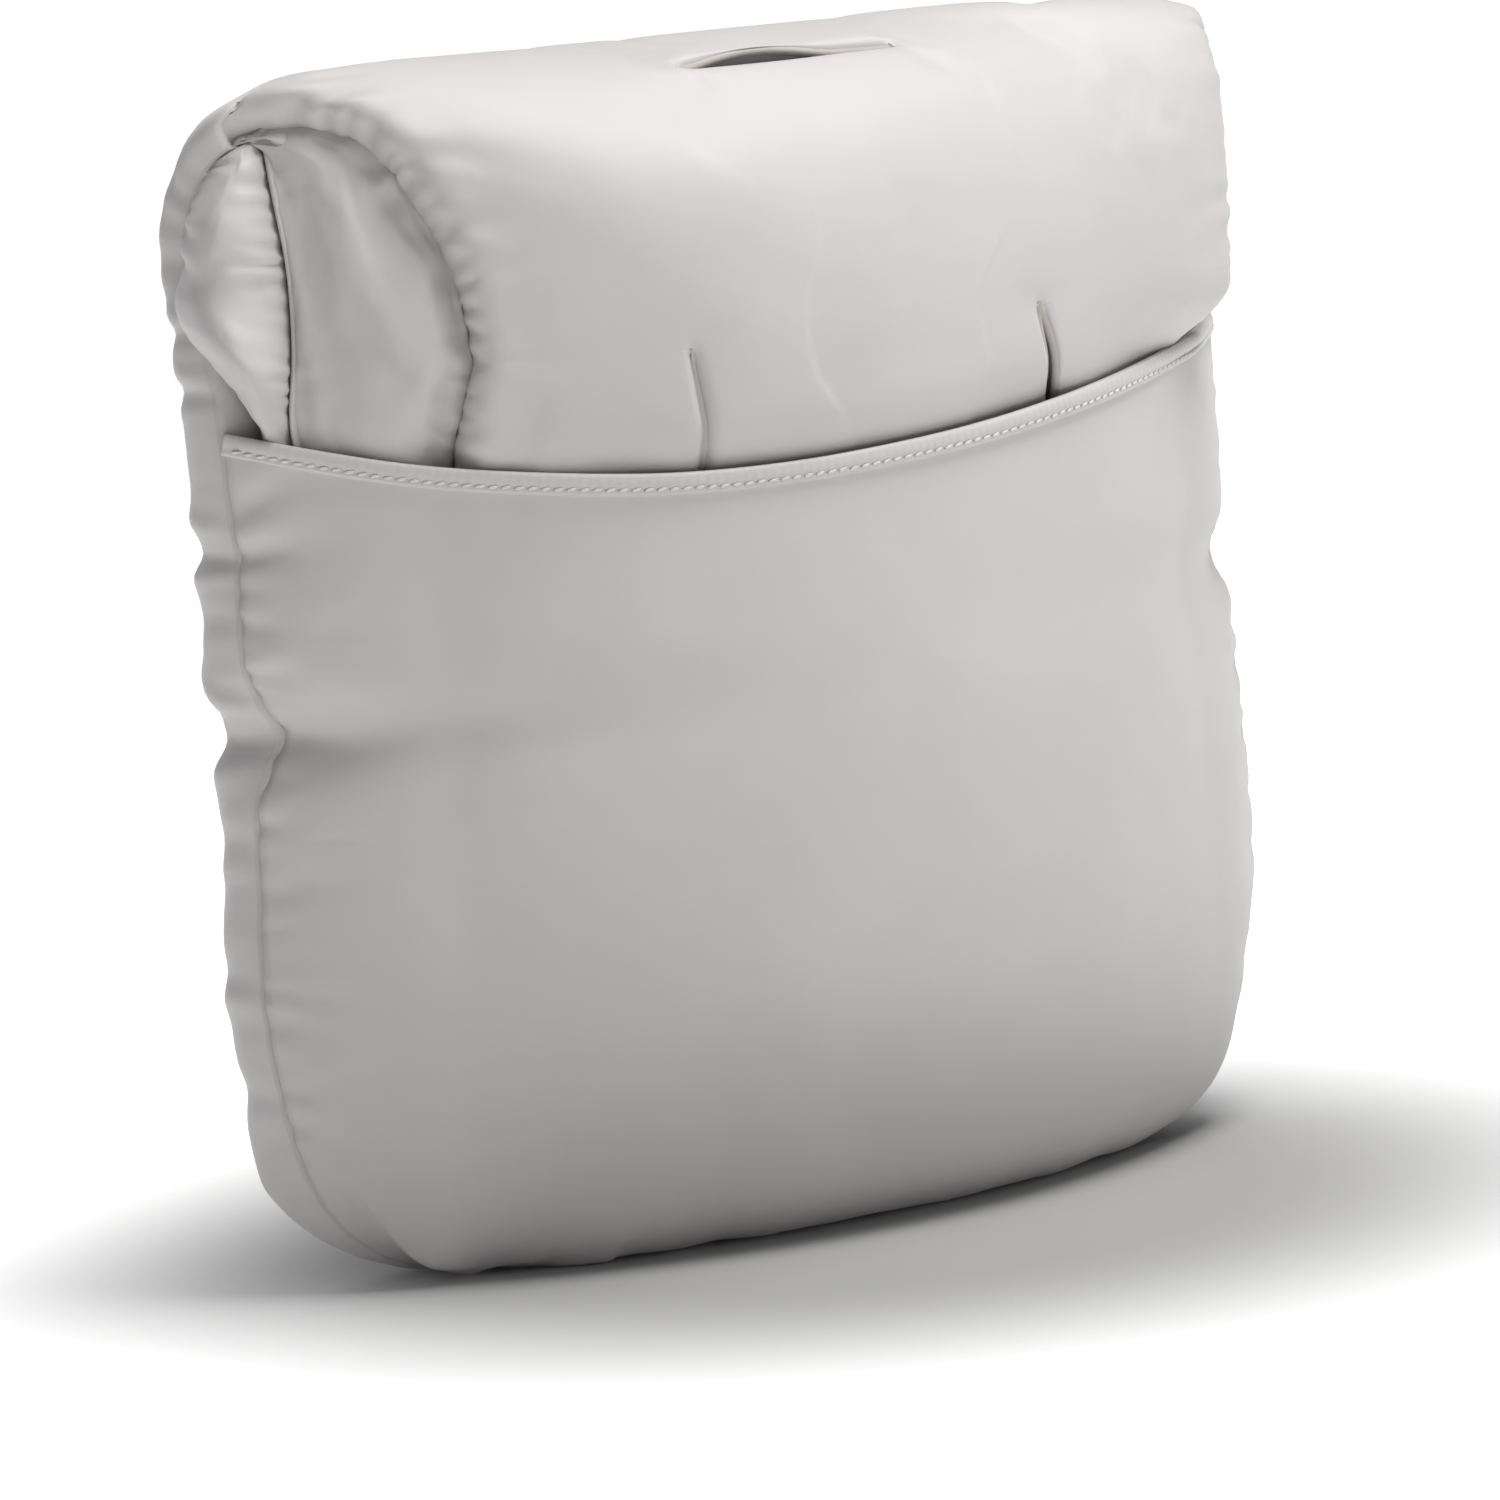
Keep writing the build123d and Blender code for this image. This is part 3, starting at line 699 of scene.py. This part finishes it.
def pouch_form():
    """The pouch as a closed bag: its bowed front, and a plain back that only the padding needs."""
    foot_rows, up, wide = pouch_rows(), 46, 101
    tall = len(foot_rows) + up
    points, cuts, held, spare, index = [], [], [], [], {}
    runs, gaps, lows = [], [], []
    for layer in ("front", "back"):
        for row in range(tall):
            for column in range(wide):
                if layer == "back" and (row == 0 or column in (0, wide - 1)):
                    index[layer, row, column] = index["front", row, column]
                    continue
                f = column / 50 - 1
                side = -1 if f < 0 else 1
                if row < len(foot_rows):
                    share, z, seam_z = foot_rows[row]
                    x = f * seam_half(side, seam_z)
                    depth = share * ((PAD_FACE - POUCH_FRONT) - bow(f * 250, POUCH_SPREAD))
                    z = max(z, low_edge(side, x)) if abs(f) < 1 else seam_z
                    z += (seam_z - z) * ease(abs(f), 0.86, 1.0)
                else:
                    t = (row - len(foot_rows) + 1) / up
                    top = mouth_height(f * SIDE_SEAM)
                    z = POUCH_FULL + t * (top - POUCH_FULL)
                    x = f * seam_half(side, z)
                    depth = (PAD_FACE - POUCH_FRONT) - bow(f * 250, POUCH_SPREAD)
                edge = (1 - abs(f)) * SIDE_SEAM
                swell = 4.0 * sin(pi * min(edge / 60, 1)) * (0.4 + 0.6 * ease(z, 60, 160))
                y = PAD_FACE - max(depth, 0) - swell * (1 - 0.5 * ease(z, 300, 340))
                index[layer, row, column] = len(points)
                points.append((x, y if layer == "front" else PAD_FACE + 1, max(z, LOWEST)))
                cuts.append((f * 290, z + 200))
                sewn = layer == "back" or row == 0 or column in (0, wide - 1)
                firm = 0.5 * ease(row, tall - 9, tall - 1)
                held.append(1.0 if sewn else firm + 0.25 * (1 - ease(row, 2, 9)))
                spare.append(max(1 - ease(edge, 6, 42), 0.5 * (1 - ease(row, 4, 16))))
                runs.append((z if row > 5 else seam_z) + (0 if side < 0 else 1000))
                gaps.append(edge if layer == "front" else 300)
                lows.append(row * 5.0 if layer == "front" else 300)
    faces = layer_faces(index, ("front", "back"), tall - 1, wide - 1)
    fronts = (tall - 1) * (wide - 1)
    for column in range(wide - 1):
        lid = [index["front", tall - 1, column], index["front", tall - 1, column + 1],
               index["back", tall - 1, column + 1], index["back", tall - 1, column]]
        faces.append(list(dict.fromkeys(lid)))
    piece = cloth_piece("pouch_cloth", points, faces, [satin, lining], None, cuts)
    outward(piece)
    note(piece, seam_run=runs, seam_gap=gaps, foot_gap=lows)
    top = [index["front", tall - 1, column] for column in range(wide)]
    return piece, held, spare, fronts, top


def crease_pouch(piece):
    """Gathers along the side and bottom seams of the pouch, and its soft unevenness."""
    run, gap, low = (noted(piece, name) for name in ("seam_run", "seam_gap", "foot_gap"))
    spots = spots_of(piece)
    folds = []
    for begin, seed in ((0, 21), (1000, 22)):
        folds += gathers(begin + 20, begin + 345, 19, seed, depth=(0.5, 1.7), reach=(8, 30), width=(2.2, 4.2))
    folds += [(228, 3.2, 46, 6.5, -0.35), (212, 2.0, 34, 5.0, -0.6), (246, 1.8, 30, 5.0, 0.4),
              (302, 2.2, 26, 4.5, 0.25), (318, 1.4, 34, 4.0, 0.5), (1246, 2.6, 40, 6.0, -0.2)]
    height = gather_height(run, gap, folds)
    across = spots[:, 0] * 1000
    under = gathers(-200, 200, 34, 23, depth=(0.6, 1.8), reach=(16, 44), width=(4, 8))
    under += [(-168, 5.0, 50, 6.5, 0.1), (-196, 2.4, 60, 6.0, 0.3)]
    height += gather_height(across, np.maximum(low - 20, 0), under) * np.clip((gap - 20) / 30, 0, 1)
    swell = 1.7 * slow_waves(spots, 7.0, 4) + 0.6 * slow_waves(spots, 18.0, 5)
    below_mouth = np.clip((345 - spots[:, 2] * 1000) / 30, 0, 1)
    raise_cloth(piece, height + swell * np.clip(gap / 40, 0, 1) * below_mouth)


def pouch_front():
    """The pouch puffed as a bag, then its front alone, with a thin wall. Also its mouth line."""
    piece, held, spare, fronts, top = pouch_form()
    puff(piece, held, spare, growth=0.09, hold=0.035, pressure=1.2, frames=16, cap=7)
    mouth = [piece.data.vertices[k].co.copy() for k in top]
    work = bmesh.new()
    work.from_mesh(piece.data)
    work.faces.ensure_lookup_table()
    bmesh.ops.delete(work, geom=work.faces[fronts:], context="FACES")
    work.to_mesh(piece.data)
    work.free()
    finer(piece)
    crease_pouch(piece)
    only(piece)
    wall = piece.modifiers.new("wall", "SOLIDIFY")
    wall.thickness, wall.offset, wall.material_offset = 0.0026, -1, 1
    wall.material_offset_rim = 0
    bpy.ops.object.modifier_apply(modifier="wall")
    smooth(piece)
    return piece, mouth


pouch_panel, mouth_line = pouch_front()
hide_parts("pouch_panel", "pouch_lining")
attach(pouch_panel, "foot_bag")


def even_line(line, step):
    """The same line with points a step apart."""
    line = [Vector(p) for p in line]
    lengths = [0.0]
    for a, b in zip(line, line[1:]):
        lengths.append(lengths[-1] + (b - a).length)
    count = int(lengths[-1] / step)
    out, k = [], 0
    for n in range(count + 1):
        want = n * lengths[-1] / count
        while k < len(line) - 2 and lengths[k + 1] < want:
            k += 1
        t = (want - lengths[k]) / max(lengths[k + 1] - lengths[k], 1e-9)
        out.append(line[k].lerp(line[k + 1], t))
    return out


def soften_line(line, rounds):
    for _ in range(rounds):
        line = [line[0]] + [(a + b * 2 + c) / 4 for a, b, c in zip(line, line[1:], line[2:])] + [line[-1]]
    return line


def band(name, line, ring, finish, shape=None):
    """Sweeps a closed ring of (forward, up) offsets in mm along a line of points."""
    points, count = [], len(ring)
    for n, place in enumerate(line):
        run = (line[min(n + 1, len(line) - 1)] - line[max(n - 1, 0)]).normalized()
        ahead = Vector((run.y, -run.x, 0)).normalized()
        rise = ahead.cross(run).normalized() * -1
        if rise.z < 0:
            rise = -rise
        grow = shape(n) if shape else 1.0
        for forward, up in ring:
            points.append(place + (ahead * forward * grow + rise * up) * 0.001)
    faces = ring_faces(len(line), count)
    faces += [tuple(range(count))[::-1], tuple(range(len(points) - count, len(points)))]
    return trim_piece(name, points, faces, finish)


def hem():
    """The folded mouth edge: a soft double roll above the stitch line."""
    line = soften_line(even_line(mouth_line, 0.001), 60)
    ring = (
        (0.3, -8.2), (1.3, -7.4), (1.5, -6.6), (1.1, -5.6), (1.7, -4.6), (2.2, -2.8), (2.1, -0.9),
        (1.3, 0.6), (0.2, 0.9), (-0.7, 0.1), (-1.5, 0.7), (-2.6, 0.5), (-3.5, -0.4), (-3.9, -2.4),
        (-3.8, -4.4), (-3.5, -6.0), (-2.8, -8.0),
    )
    rng = random.Random(4)
    wave = [rng.uniform(0.9, 1.1) for _ in range(400)]

    def fullness(n):
        ripple = 0.97 + 0.05 * sin(n * pi / 2) * wave[n % 400]
        return ripple * (0.45 + 0.55 * ease(min(n, len(line) - 1 - n), 0, 12))

    return band("hem_roll", line, ring, satin, fullness), line


pouch_hem, hem_line = hem()
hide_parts("pouch_hem")
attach(pouch_hem, "foot_bag")


def stitch_row(name, line, step, depth, drop, size, slant, seed):
    """One stitch, modelled once and laid in a row along a line."""
    bpy.ops.object.select_all(action="DESELECT")
    bpy.ops.mesh.primitive_uv_sphere_add(segments=8, ring_count=5, radius=1.0)
    one = bpy.context.object
    shape = [v.co.copy() for v in one.data.vertices]
    quads = [tuple(p.vertices) for p in one.data.polygons]
    bpy.data.objects.remove(one)
    rng = random.Random(seed)
    points, faces = [], []
    places = even_line(line, step)
    for n in range(1, len(places) - 1):
        run = (places[n + 1] - places[n - 1]).normalized()
        ahead = Vector((run.y, -run.x, 0)).normalized()
        rise = Vector((0, 0, 1))
        lean = slant + rng.uniform(-0.05, 0.05)
        long = (run * cos(lean) + rise * sin(lean)).normalized()
        tall = ahead.cross(long).normalized()
        middle = places[n] + ahead * depth * 0.001 + rise * (drop + rng.uniform(-0.12, 0.12)) * 0.001
        first = len(points)
        for v in shape:
            spot = long * v.x * size[0] + tall * v.y * size[1] + ahead * v.z * size[2]
            points.append(middle + spot * 0.001)
        faces += [tuple(k + first for k in quad) for quad in quads]
    return trim_piece(name, points, faces, thread)


hem_stitches = stitch_row("hem_stitches", hem_line, 0.0052, 1.55, -5.6, (2.2, 0.72, 0.72), 0.24, 7)
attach(hem_stitches, "foot_bag")


# ---- lobes at the ends of the fold ----
PLACKET_LINE = ((472, -221, -13), (445, -221, -19), (413, -219, -22), (381, -220, -22), (350, -223, -21),
                (300, -214, -22), (214, -196, -23))
REAR_EDGE = ((407, -252, 16), (394, -253, 8), (382, -248, 0), (368, -239, -5), (354, -231, -8),
             (340, -226, -7), (320, -222, -7), (250, -208, -10), (222, -202, -12))


def line_point(line, z, shift=0.0):
    """The point of a line of (height, x, depth) rows at a height, moved back by shift."""
    table = sorted(line)
    return along([(k, x) for k, x, _ in table], z), along([(k, y) for k, _, y in table], z) + shift, z


def lobe(name, first, second, swell, behind, rows, seed, far_gathers):
    """A soft lobe between two seams, as points for its near and far layer."""
    across = 26
    points, cuts, held, spare, index = [], [], [], [], {}
    runs, gaps = [], []
    for layer in ("near", "far"):
        for row in range(rows):
            v = row / (rows - 1)
            a, b = Vector(first(v)), Vector(second(v))
            run = b - a
            out = Vector((run.y, -run.x, 0))
            out = out.normalized() if out.length > 1e-6 else Vector((-1, 0, 0))
            if out.x > 0:
                out = -out
            for column in range(across):
                w = 0.5 - 0.5 * cos(pi * column / (across - 1))
                border = row in (0, rows - 1) or column in (0, across - 1)
                if border and layer == "far":
                    index[layer, row, column] = index["near", row, column]
                    continue
                ends = min(v, 1 - v)
                full = sin(pi * w) ** 0.75 * rounded(ends, 0.07)
                spot = a.lerp(b, w)
                if layer == "near":
                    spot = spot + out * full * swell(v)
                else:
                    spot = Vector(behind(v, w, spot, full))
                index[layer, row, column] = len(points)
                points.append(tuple(spot))
                cuts.append((w * 70, v * 280))
                held.append(1.0 if border else 0.0)
                edge = min(w, 1 - w) * run.length
                spare.append(1 - ease(min(edge, ends * 250), 3, 22))
                runs.append(v * 300 + (0 if w < 0.5 else 1000))
                gaps.append(edge if layer == "near" else 200)
    faces = layer_faces(index, ("near", "far"), rows - 1, across - 1)
    piece = cloth_piece(name, points, faces, [satin], None, cuts)
    outward(piece)
    rng = random.Random(seed)
    for vertex in piece.data.vertices:
        vertex.co += Vector([rng.uniform(-1, 1) * 0.0002 for _ in range(3)])
    note(piece, seam_run=runs, seam_gap=gaps)
    puff(piece, held, spare, growth=0.13, hold=0.02, pressure=2.5, frames=16, cap=6)
    finer(piece)
    folds = gathers(4, 300, 11, seed, depth=(0.6, 1.9), reach=(6, 20), width=(1.7, 3.0))
    folds += gathers(1004, 1300, 13, seed + 40, depth=(0.3, far_gathers), reach=(5, 16), width=(1.6, 3.0))
    swell = 1.2 * slow_waves(spots_of(piece), 24.0, seed)
    gap = noted(piece, "seam_gap")
    raise_cloth(piece, gather_height(noted(piece, "seam_run"), gap, folds) + swell * np.clip(gap / 20, 0, 1))
    return piece


def panel_seam(station, side=-1):
    """A point on the end seam of the folded body, always on its left side."""
    half = fold_half(side, station)
    y, z = seam_face(station, -half, -1)
    return (-half + 0.6, y + 0.8, z)


def front_lobe_shapes(side):
    """Two seams, fullness and far layer of a front lobe, built on the left for either side."""
    def first(v):
        return panel_seam(-3 + 258 * v, side)

    def second(v):
        return line_point(PLACKET_LINE, 474 - 258 * v)

    def swell(v):
        full = 6 + 9 * ease(v, 0.0, 0.3) - 3 * ease(v, 0.36, 0.56)
        return full if side < 0 else full * 0.7

    def behind(v, w, spot, full):
        return (spot.x + 4 * full, spot.y + (-23 - spot.y) * full, spot.z)

    return first, second, swell, behind


def rear_lobe_shapes(side):
    """Two seams, fullness and far layer of a rear lobe, built on the left for either side."""
    def first(v):
        return line_point(PLACKET_LINE, 472 - 250 * v, shift=3.2)

    def second(v):
        if v < 0.26:
            return panel_seam(-4 - 84 * (v / 0.26) ** 1.1)
        z = 415 - (415 - 222) * (v - 0.26) / 0.74
        if z > 407:
            x, y, top = panel_seam(-88)
            t = (top - z) / (top - 407)
            return (x + (-252 - x) * t, y + (16 - y) * t, z)
        return line_point(REAR_EDGE, z)

    def swell(v):
        full = 9 + 18 * ease(v, 0.0, 0.2) - 16 * ease(v, 0.36, 0.52) - 7 * ease(v, 0.46, 0.58)
        return full if side < 0 else full * 0.5

    def behind(v, w, spot, full):
        return (spot.x + 9 * full, spot.y + 3 * full, spot.z)

    return first, second, swell, behind


def mirrored(piece, name):
    twin = placed(name, piece.data.copy())
    twin.data.transform(Matrix.Scale(-1, 4, (1, 0, 0)))
    outward(twin)
    return twin


def lobe_looks(piece, side, node, home):
    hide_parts(f"{side}_{node}")
    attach(piece, home)


def lobes():
    """All four lobes. The right ones are built on the left and mirrored."""
    for node, home, shapes, rows, seed, far_gathers in (
        ("front_lobe", "folded_half", front_lobe_shapes, 64, 11, 0.6),
        ("rear_lobe", "foot_bag", rear_lobe_shapes, 56, 12, 1.8),
    ):
        left = lobe(f"left_{node}_cloth", *shapes(-1), rows, seed, far_gathers)
        far = lobe(f"far_{node}_cloth", *shapes(1), rows, seed + 10, far_gathers)
        lobe_looks(left, "left", node, home)
        lobe_looks(mirrored(far, f"right_{node}_cloth"), "right", node, home)
        bpy.data.objects.remove(far)


lobes()


def placket(side, sign):
    """The folded facing on the edge of a front lobe: two layers of cloth, a little proud of the crease."""
    ring = ((1.6, 0.6), (1.8, -0.6), (1.2, -1.5), (-1, -2.0), (-8, -2.6), (-16, -2.8), (-18, -2.2),
            (-18, -1.0), (-16, -0.4), (-8, -0.2), (-1, 0.4), (1.0, 1.0))
    heights = list(np.linspace(473, 216, 66))
    points, cuts, count = [], [], len(ring)
    for n, z in enumerate(heights):
        x, y, _ = line_point(PLACKET_LINE, z)
        reach = 1.0 if 0 < n < len(heights) - 1 else 0.86
        for out, deep in ring:
            wave = 0.5 * noise.noise(Vector((0, z * 0.04, sign)))
            points.append((sign * (-x + out * reach + wave), y - 0.4 - deep * reach, z))
            cuts.append((out, z))
    faces = ring_faces(len(heights), count)
    faces += [tuple(range(count)), tuple(range(len(points) - count, len(points)))]
    piece = cloth_piece(f"{side}_placket_cloth", points, faces, [satin], None, cuts)
    outward(piece)
    finer(piece)
    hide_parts(f"{side}_lobe_placket")
    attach(piece, "folded_half")


placket("left", -1)
placket("right", 1)


# ---- slots ----
def closed_tube(name, loop, radius, out, finish):
    """A soft rolled lip along a closed loop of points; out points away from the cloth."""
    points, count, total = [], 8, len(loop)
    for n, place in enumerate(loop):
        run = (loop[(n + 1) % total] - loop[n - 1]).normalized()
        side = run.cross(out).normalized()
        lift = side.cross(run).normalized()
        for k in range(count):
            turn = 2 * pi * k / count
            points.append(place + (side * cos(turn) * radius[0] + lift * sin(turn) * radius[1]) * 0.001)
    return trim_piece(name, points, ring_faces(total, count, closed=True), finish)


def slot_trim(name, node, lean):
    """The bound lips of a slot and a bar of close stitches at each end."""
    first, second = ([body.data.vertices[pair[k]].co.copy() for pair in slit_lines[name]] for k in (0, 1))
    loop = soften_line(even_line(first + second[::-1], 0.0016), 3)[:-1]
    out = Vector(lean).normalized()
    lip = closed_tube(f"{name}_slot_lip", [p + out * 0.0012 for p in loop], (2.2, 1.9), out, ribbon)
    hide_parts(node)
    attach(lip, "folded_half")
    long = (first[-1] - first[0]).normalized()
    cross = long.cross(out).normalized()
    for label, end, way in (("start", first[0], -1), ("end", first[-1], 1)):
        steps = np.linspace(-4.6, 4.6, 30)
        bar = [end + cross * t * 0.001 + out * 0.0016 + long * way * 0.0008 for t in steps]
        yield bar_stitches(f"{name}_slot_{label}_bar", bar, long, out)


def bar_stitches(name, line, long, out):
    """A bar of close stitches laid side by side."""
    points, faces = [], []
    rng = random.Random(len(name))
    for place in even_line(line, 0.00062):
        reach = 1.35 + rng.uniform(-0.12, 0.12)
        first = len(points)
        side = long.cross(out).normalized()
        for t in np.linspace(-1, 1, 7):
            arch = sqrt(max(1 - t * t, 0))
            for k in range(6):
                turn = 2 * pi * k / 6
                spot = long * t * reach + side * cos(turn) * 0.3 * max(arch, 0.25)
                spot += out * (arch * 0.5 + sin(turn) * 0.3 * max(arch, 0.25))
                points.append(place + spot * 0.001)
        faces += ring_faces(7, 6, first)
        faces += [tuple(range(first, first + 6)), tuple(range(first + 36, first + 42))]
    piece = trim_piece(name, points, faces, thread)
    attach(piece, "folded_half")
    return piece


SLOT_NODES = (
    ("crotch", "crotch_slot_binding", (0, -0.45, 0.89),
     ("crotch_slot_left_bartack", "crotch_slot_right_bartack")),
    ("left", "left_waist_slot_binding", (0, -1, 0.08), ("left_waist_slot_bartack", None)),
    ("right", "right_waist_slot_binding", (0, -1, 0.08), ("right_waist_slot_bartack", None)),
)
for name, node, lean, tacks in SLOT_NODES:
    for bar, tack in zip(slot_trim(name, node, lean), tacks):
        if tack:
            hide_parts(tack)


# ---- linings of the fold ----
def flat_pad(name, node, home, half, low, high, front, back, seed):
    """A flat lined pad with soft edges, seen only when the fold is open."""
    columns_, rows = 56, max(int((high - low) / 6), 10)
    points, cuts, index = [], [], {}
    for layer in ("front", "back"):
        for row in range(rows + 1):
            for column in range(columns_ + 1):
                f, g = column / columns_ * 2 - 1, row / rows * 2 - 1
                f, g = sin(f * pi / 2), sin(g * pi / 2)
                border = abs(f) > 0.9999 or abs(g) > 0.9999
                if border and layer == "back":
                    index[layer, row, column] = index["front", row, column]
                    continue
                edge = min((1 - abs(f)) * half, (1 - abs(g)) * (high - low) / 2)
                fill = rounded(edge, 30)
                middle = (front + back) / 2
                face = front if layer == "front" else back
                wave = 1.6 * noise.noise(Vector((f * 4, g * 3, seed)))
                corner = max(abs(f) + abs(g) - 1.6, 0) * min(60, (high - low) * 0.22)
                index[layer, row, column] = len(points)
                points.append((f * (half - corner), middle + (face - middle) * fill + wave,
                               (low + high) / 2 + g * ((high - low) / 2 - corner * 0.4)))
                cuts.append((f * half, g * (high - low) / 2))
    faces = layer_faces(index, ("front", "back"), rows, columns_)
    piece = cloth_piece(name, points, faces, [lining], None, cuts)
    outward(piece)
    finer(piece)
    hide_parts(node)
    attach(piece, home)


flat_pad("fold_lining_pad", "cover_pad", "folded_half", 168, 212, 458, -52, -23.5, 3)
flat_pad("rear_lining_pad", "rear_cover", "foot_bag", 190, 400, 464, -18.5, -6, 6)


# ---- camera, light and floor ----
def set_camera():
    turn, tilt, roll = radians(-33.07), radians(7.44), radians(-4.65)
    back = Vector((sin(turn) * cos(tilt), -cos(turn) * cos(tilt), sin(tilt)))
    right = Vector((cos(turn), sin(turn), 0))
    up = back.cross(right)
    across = right * cos(roll) + up * sin(roll)
    upward = up * cos(roll) - right * sin(roll)
    aim = Vector((0, 0, 0.245)) - across * 0.0238 - upward * 0.0517
    camera = placed("camera", bpy.data.cameras.new("camera"))
    focal_pixels, frame_pixels, sensor = 7763, 1500, 36
    camera.data.lens = focal_pixels / frame_pixels * sensor
    camera.location = aim + back * 3.21
    camera.rotation_mode = "QUATERNION"
    camera.rotation_quaternion = Matrix((across, upward, back)).transposed().to_quaternion()
    camera.data.clip_end = 50
    bpy.context.scene.camera = camera


def area_light(name, place, aim, size, power, tint):
    light = bpy.data.lights.new(name, "AREA")
    light.shape, light.size, light.size_y = "RECTANGLE", *size
    light.energy, light.color = power, tint
    lamp = placed(name, light)
    lamp.location = place
    lamp.rotation_mode = "QUATERNION"
    lamp.rotation_quaternion = (Vector(place) - Vector(aim)).to_track_quat("Z", "Y")


def set_stage():
    """A pale floor with a painted shadow, dark near the object and glowing white further out, a soft sky and
    three lamps.
    """
    work = bmesh.new()
    bmesh.ops.create_grid(work, x_segments=2, y_segments=2, size=40)
    mesh = bpy.data.meshes.new("floor")
    work.to_mesh(mesh)
    work.free()
    floor = placed("floor", mesh)
    material, nodes, links, shader = finish_material("floor")
    # The floor's low grey keeps the painted shadow around the object dark.
    set_inputs(shader, {"Base Color": (0.4, 0.4, 0.4, 1), "Roughness": 0.9, "Specular IOR Level": 0.1,
                        "Emission Color": (1, 1, 1, 1)})
    place = nodes.new("ShaderNodeTexCoord")
    away = nodes.new("ShaderNodeVectorMath")
    away.operation = "LENGTH"
    links.new(place.outputs["Object"], away.inputs[0])
    # Painted shadow and painted light: the floor's emission is zero close to the object and rises to a white
    # glow further out.
    glow = smooth_range(nodes, links, away.outputs["Value"], (0.16, 0.46), (0.0, 0.98))
    links.new(glow, shader.inputs["Emission Strength"])
    floor.data.materials.append(material)
    world = bpy.data.worlds.new("studio")
    world.use_nodes = True
    nodes, links = world.node_tree.nodes, world.node_tree.links
    place = nodes.new("ShaderNodeTexCoord")
    lean = nodes.new("ShaderNodeVectorMath")
    lean.operation = "DOT_PRODUCT"
    lean.inputs[1].default_value = (0.12, -0.5, 0.1)
    links.new(place.outputs["Generated"], lean.inputs[0])
    glow = smooth_range(nodes, links, lean.outputs["Value"], (-0.6, 0.6), (0.04, 0.24))
    links.new(glow, nodes["Background"].inputs["Strength"])
    nodes["Background"].inputs["Color"].default_value = (1.0, 1.0, 1.0, 1)
    bpy.context.scene.world = world
    area_light("key", (0.34, -0.42, 1.9), (0, -0.05, 0.4), (0.8, 0.8), 34, (1, 0.99, 0.98))
    area_light("low", (0.5, -1.0, 0.12), (0, 0, 0.08), (0.9, 0.2), 1.7, (1, 0.99, 0.985))
    area_light("rear", (-0.2, 1.6, 1.3), (0, 0, 0.1), (1.6, 1.0), 8, (1, 1, 1))
    bpy.context.scene.view_settings.view_transform = "Standard"


set_camera()
set_stage()
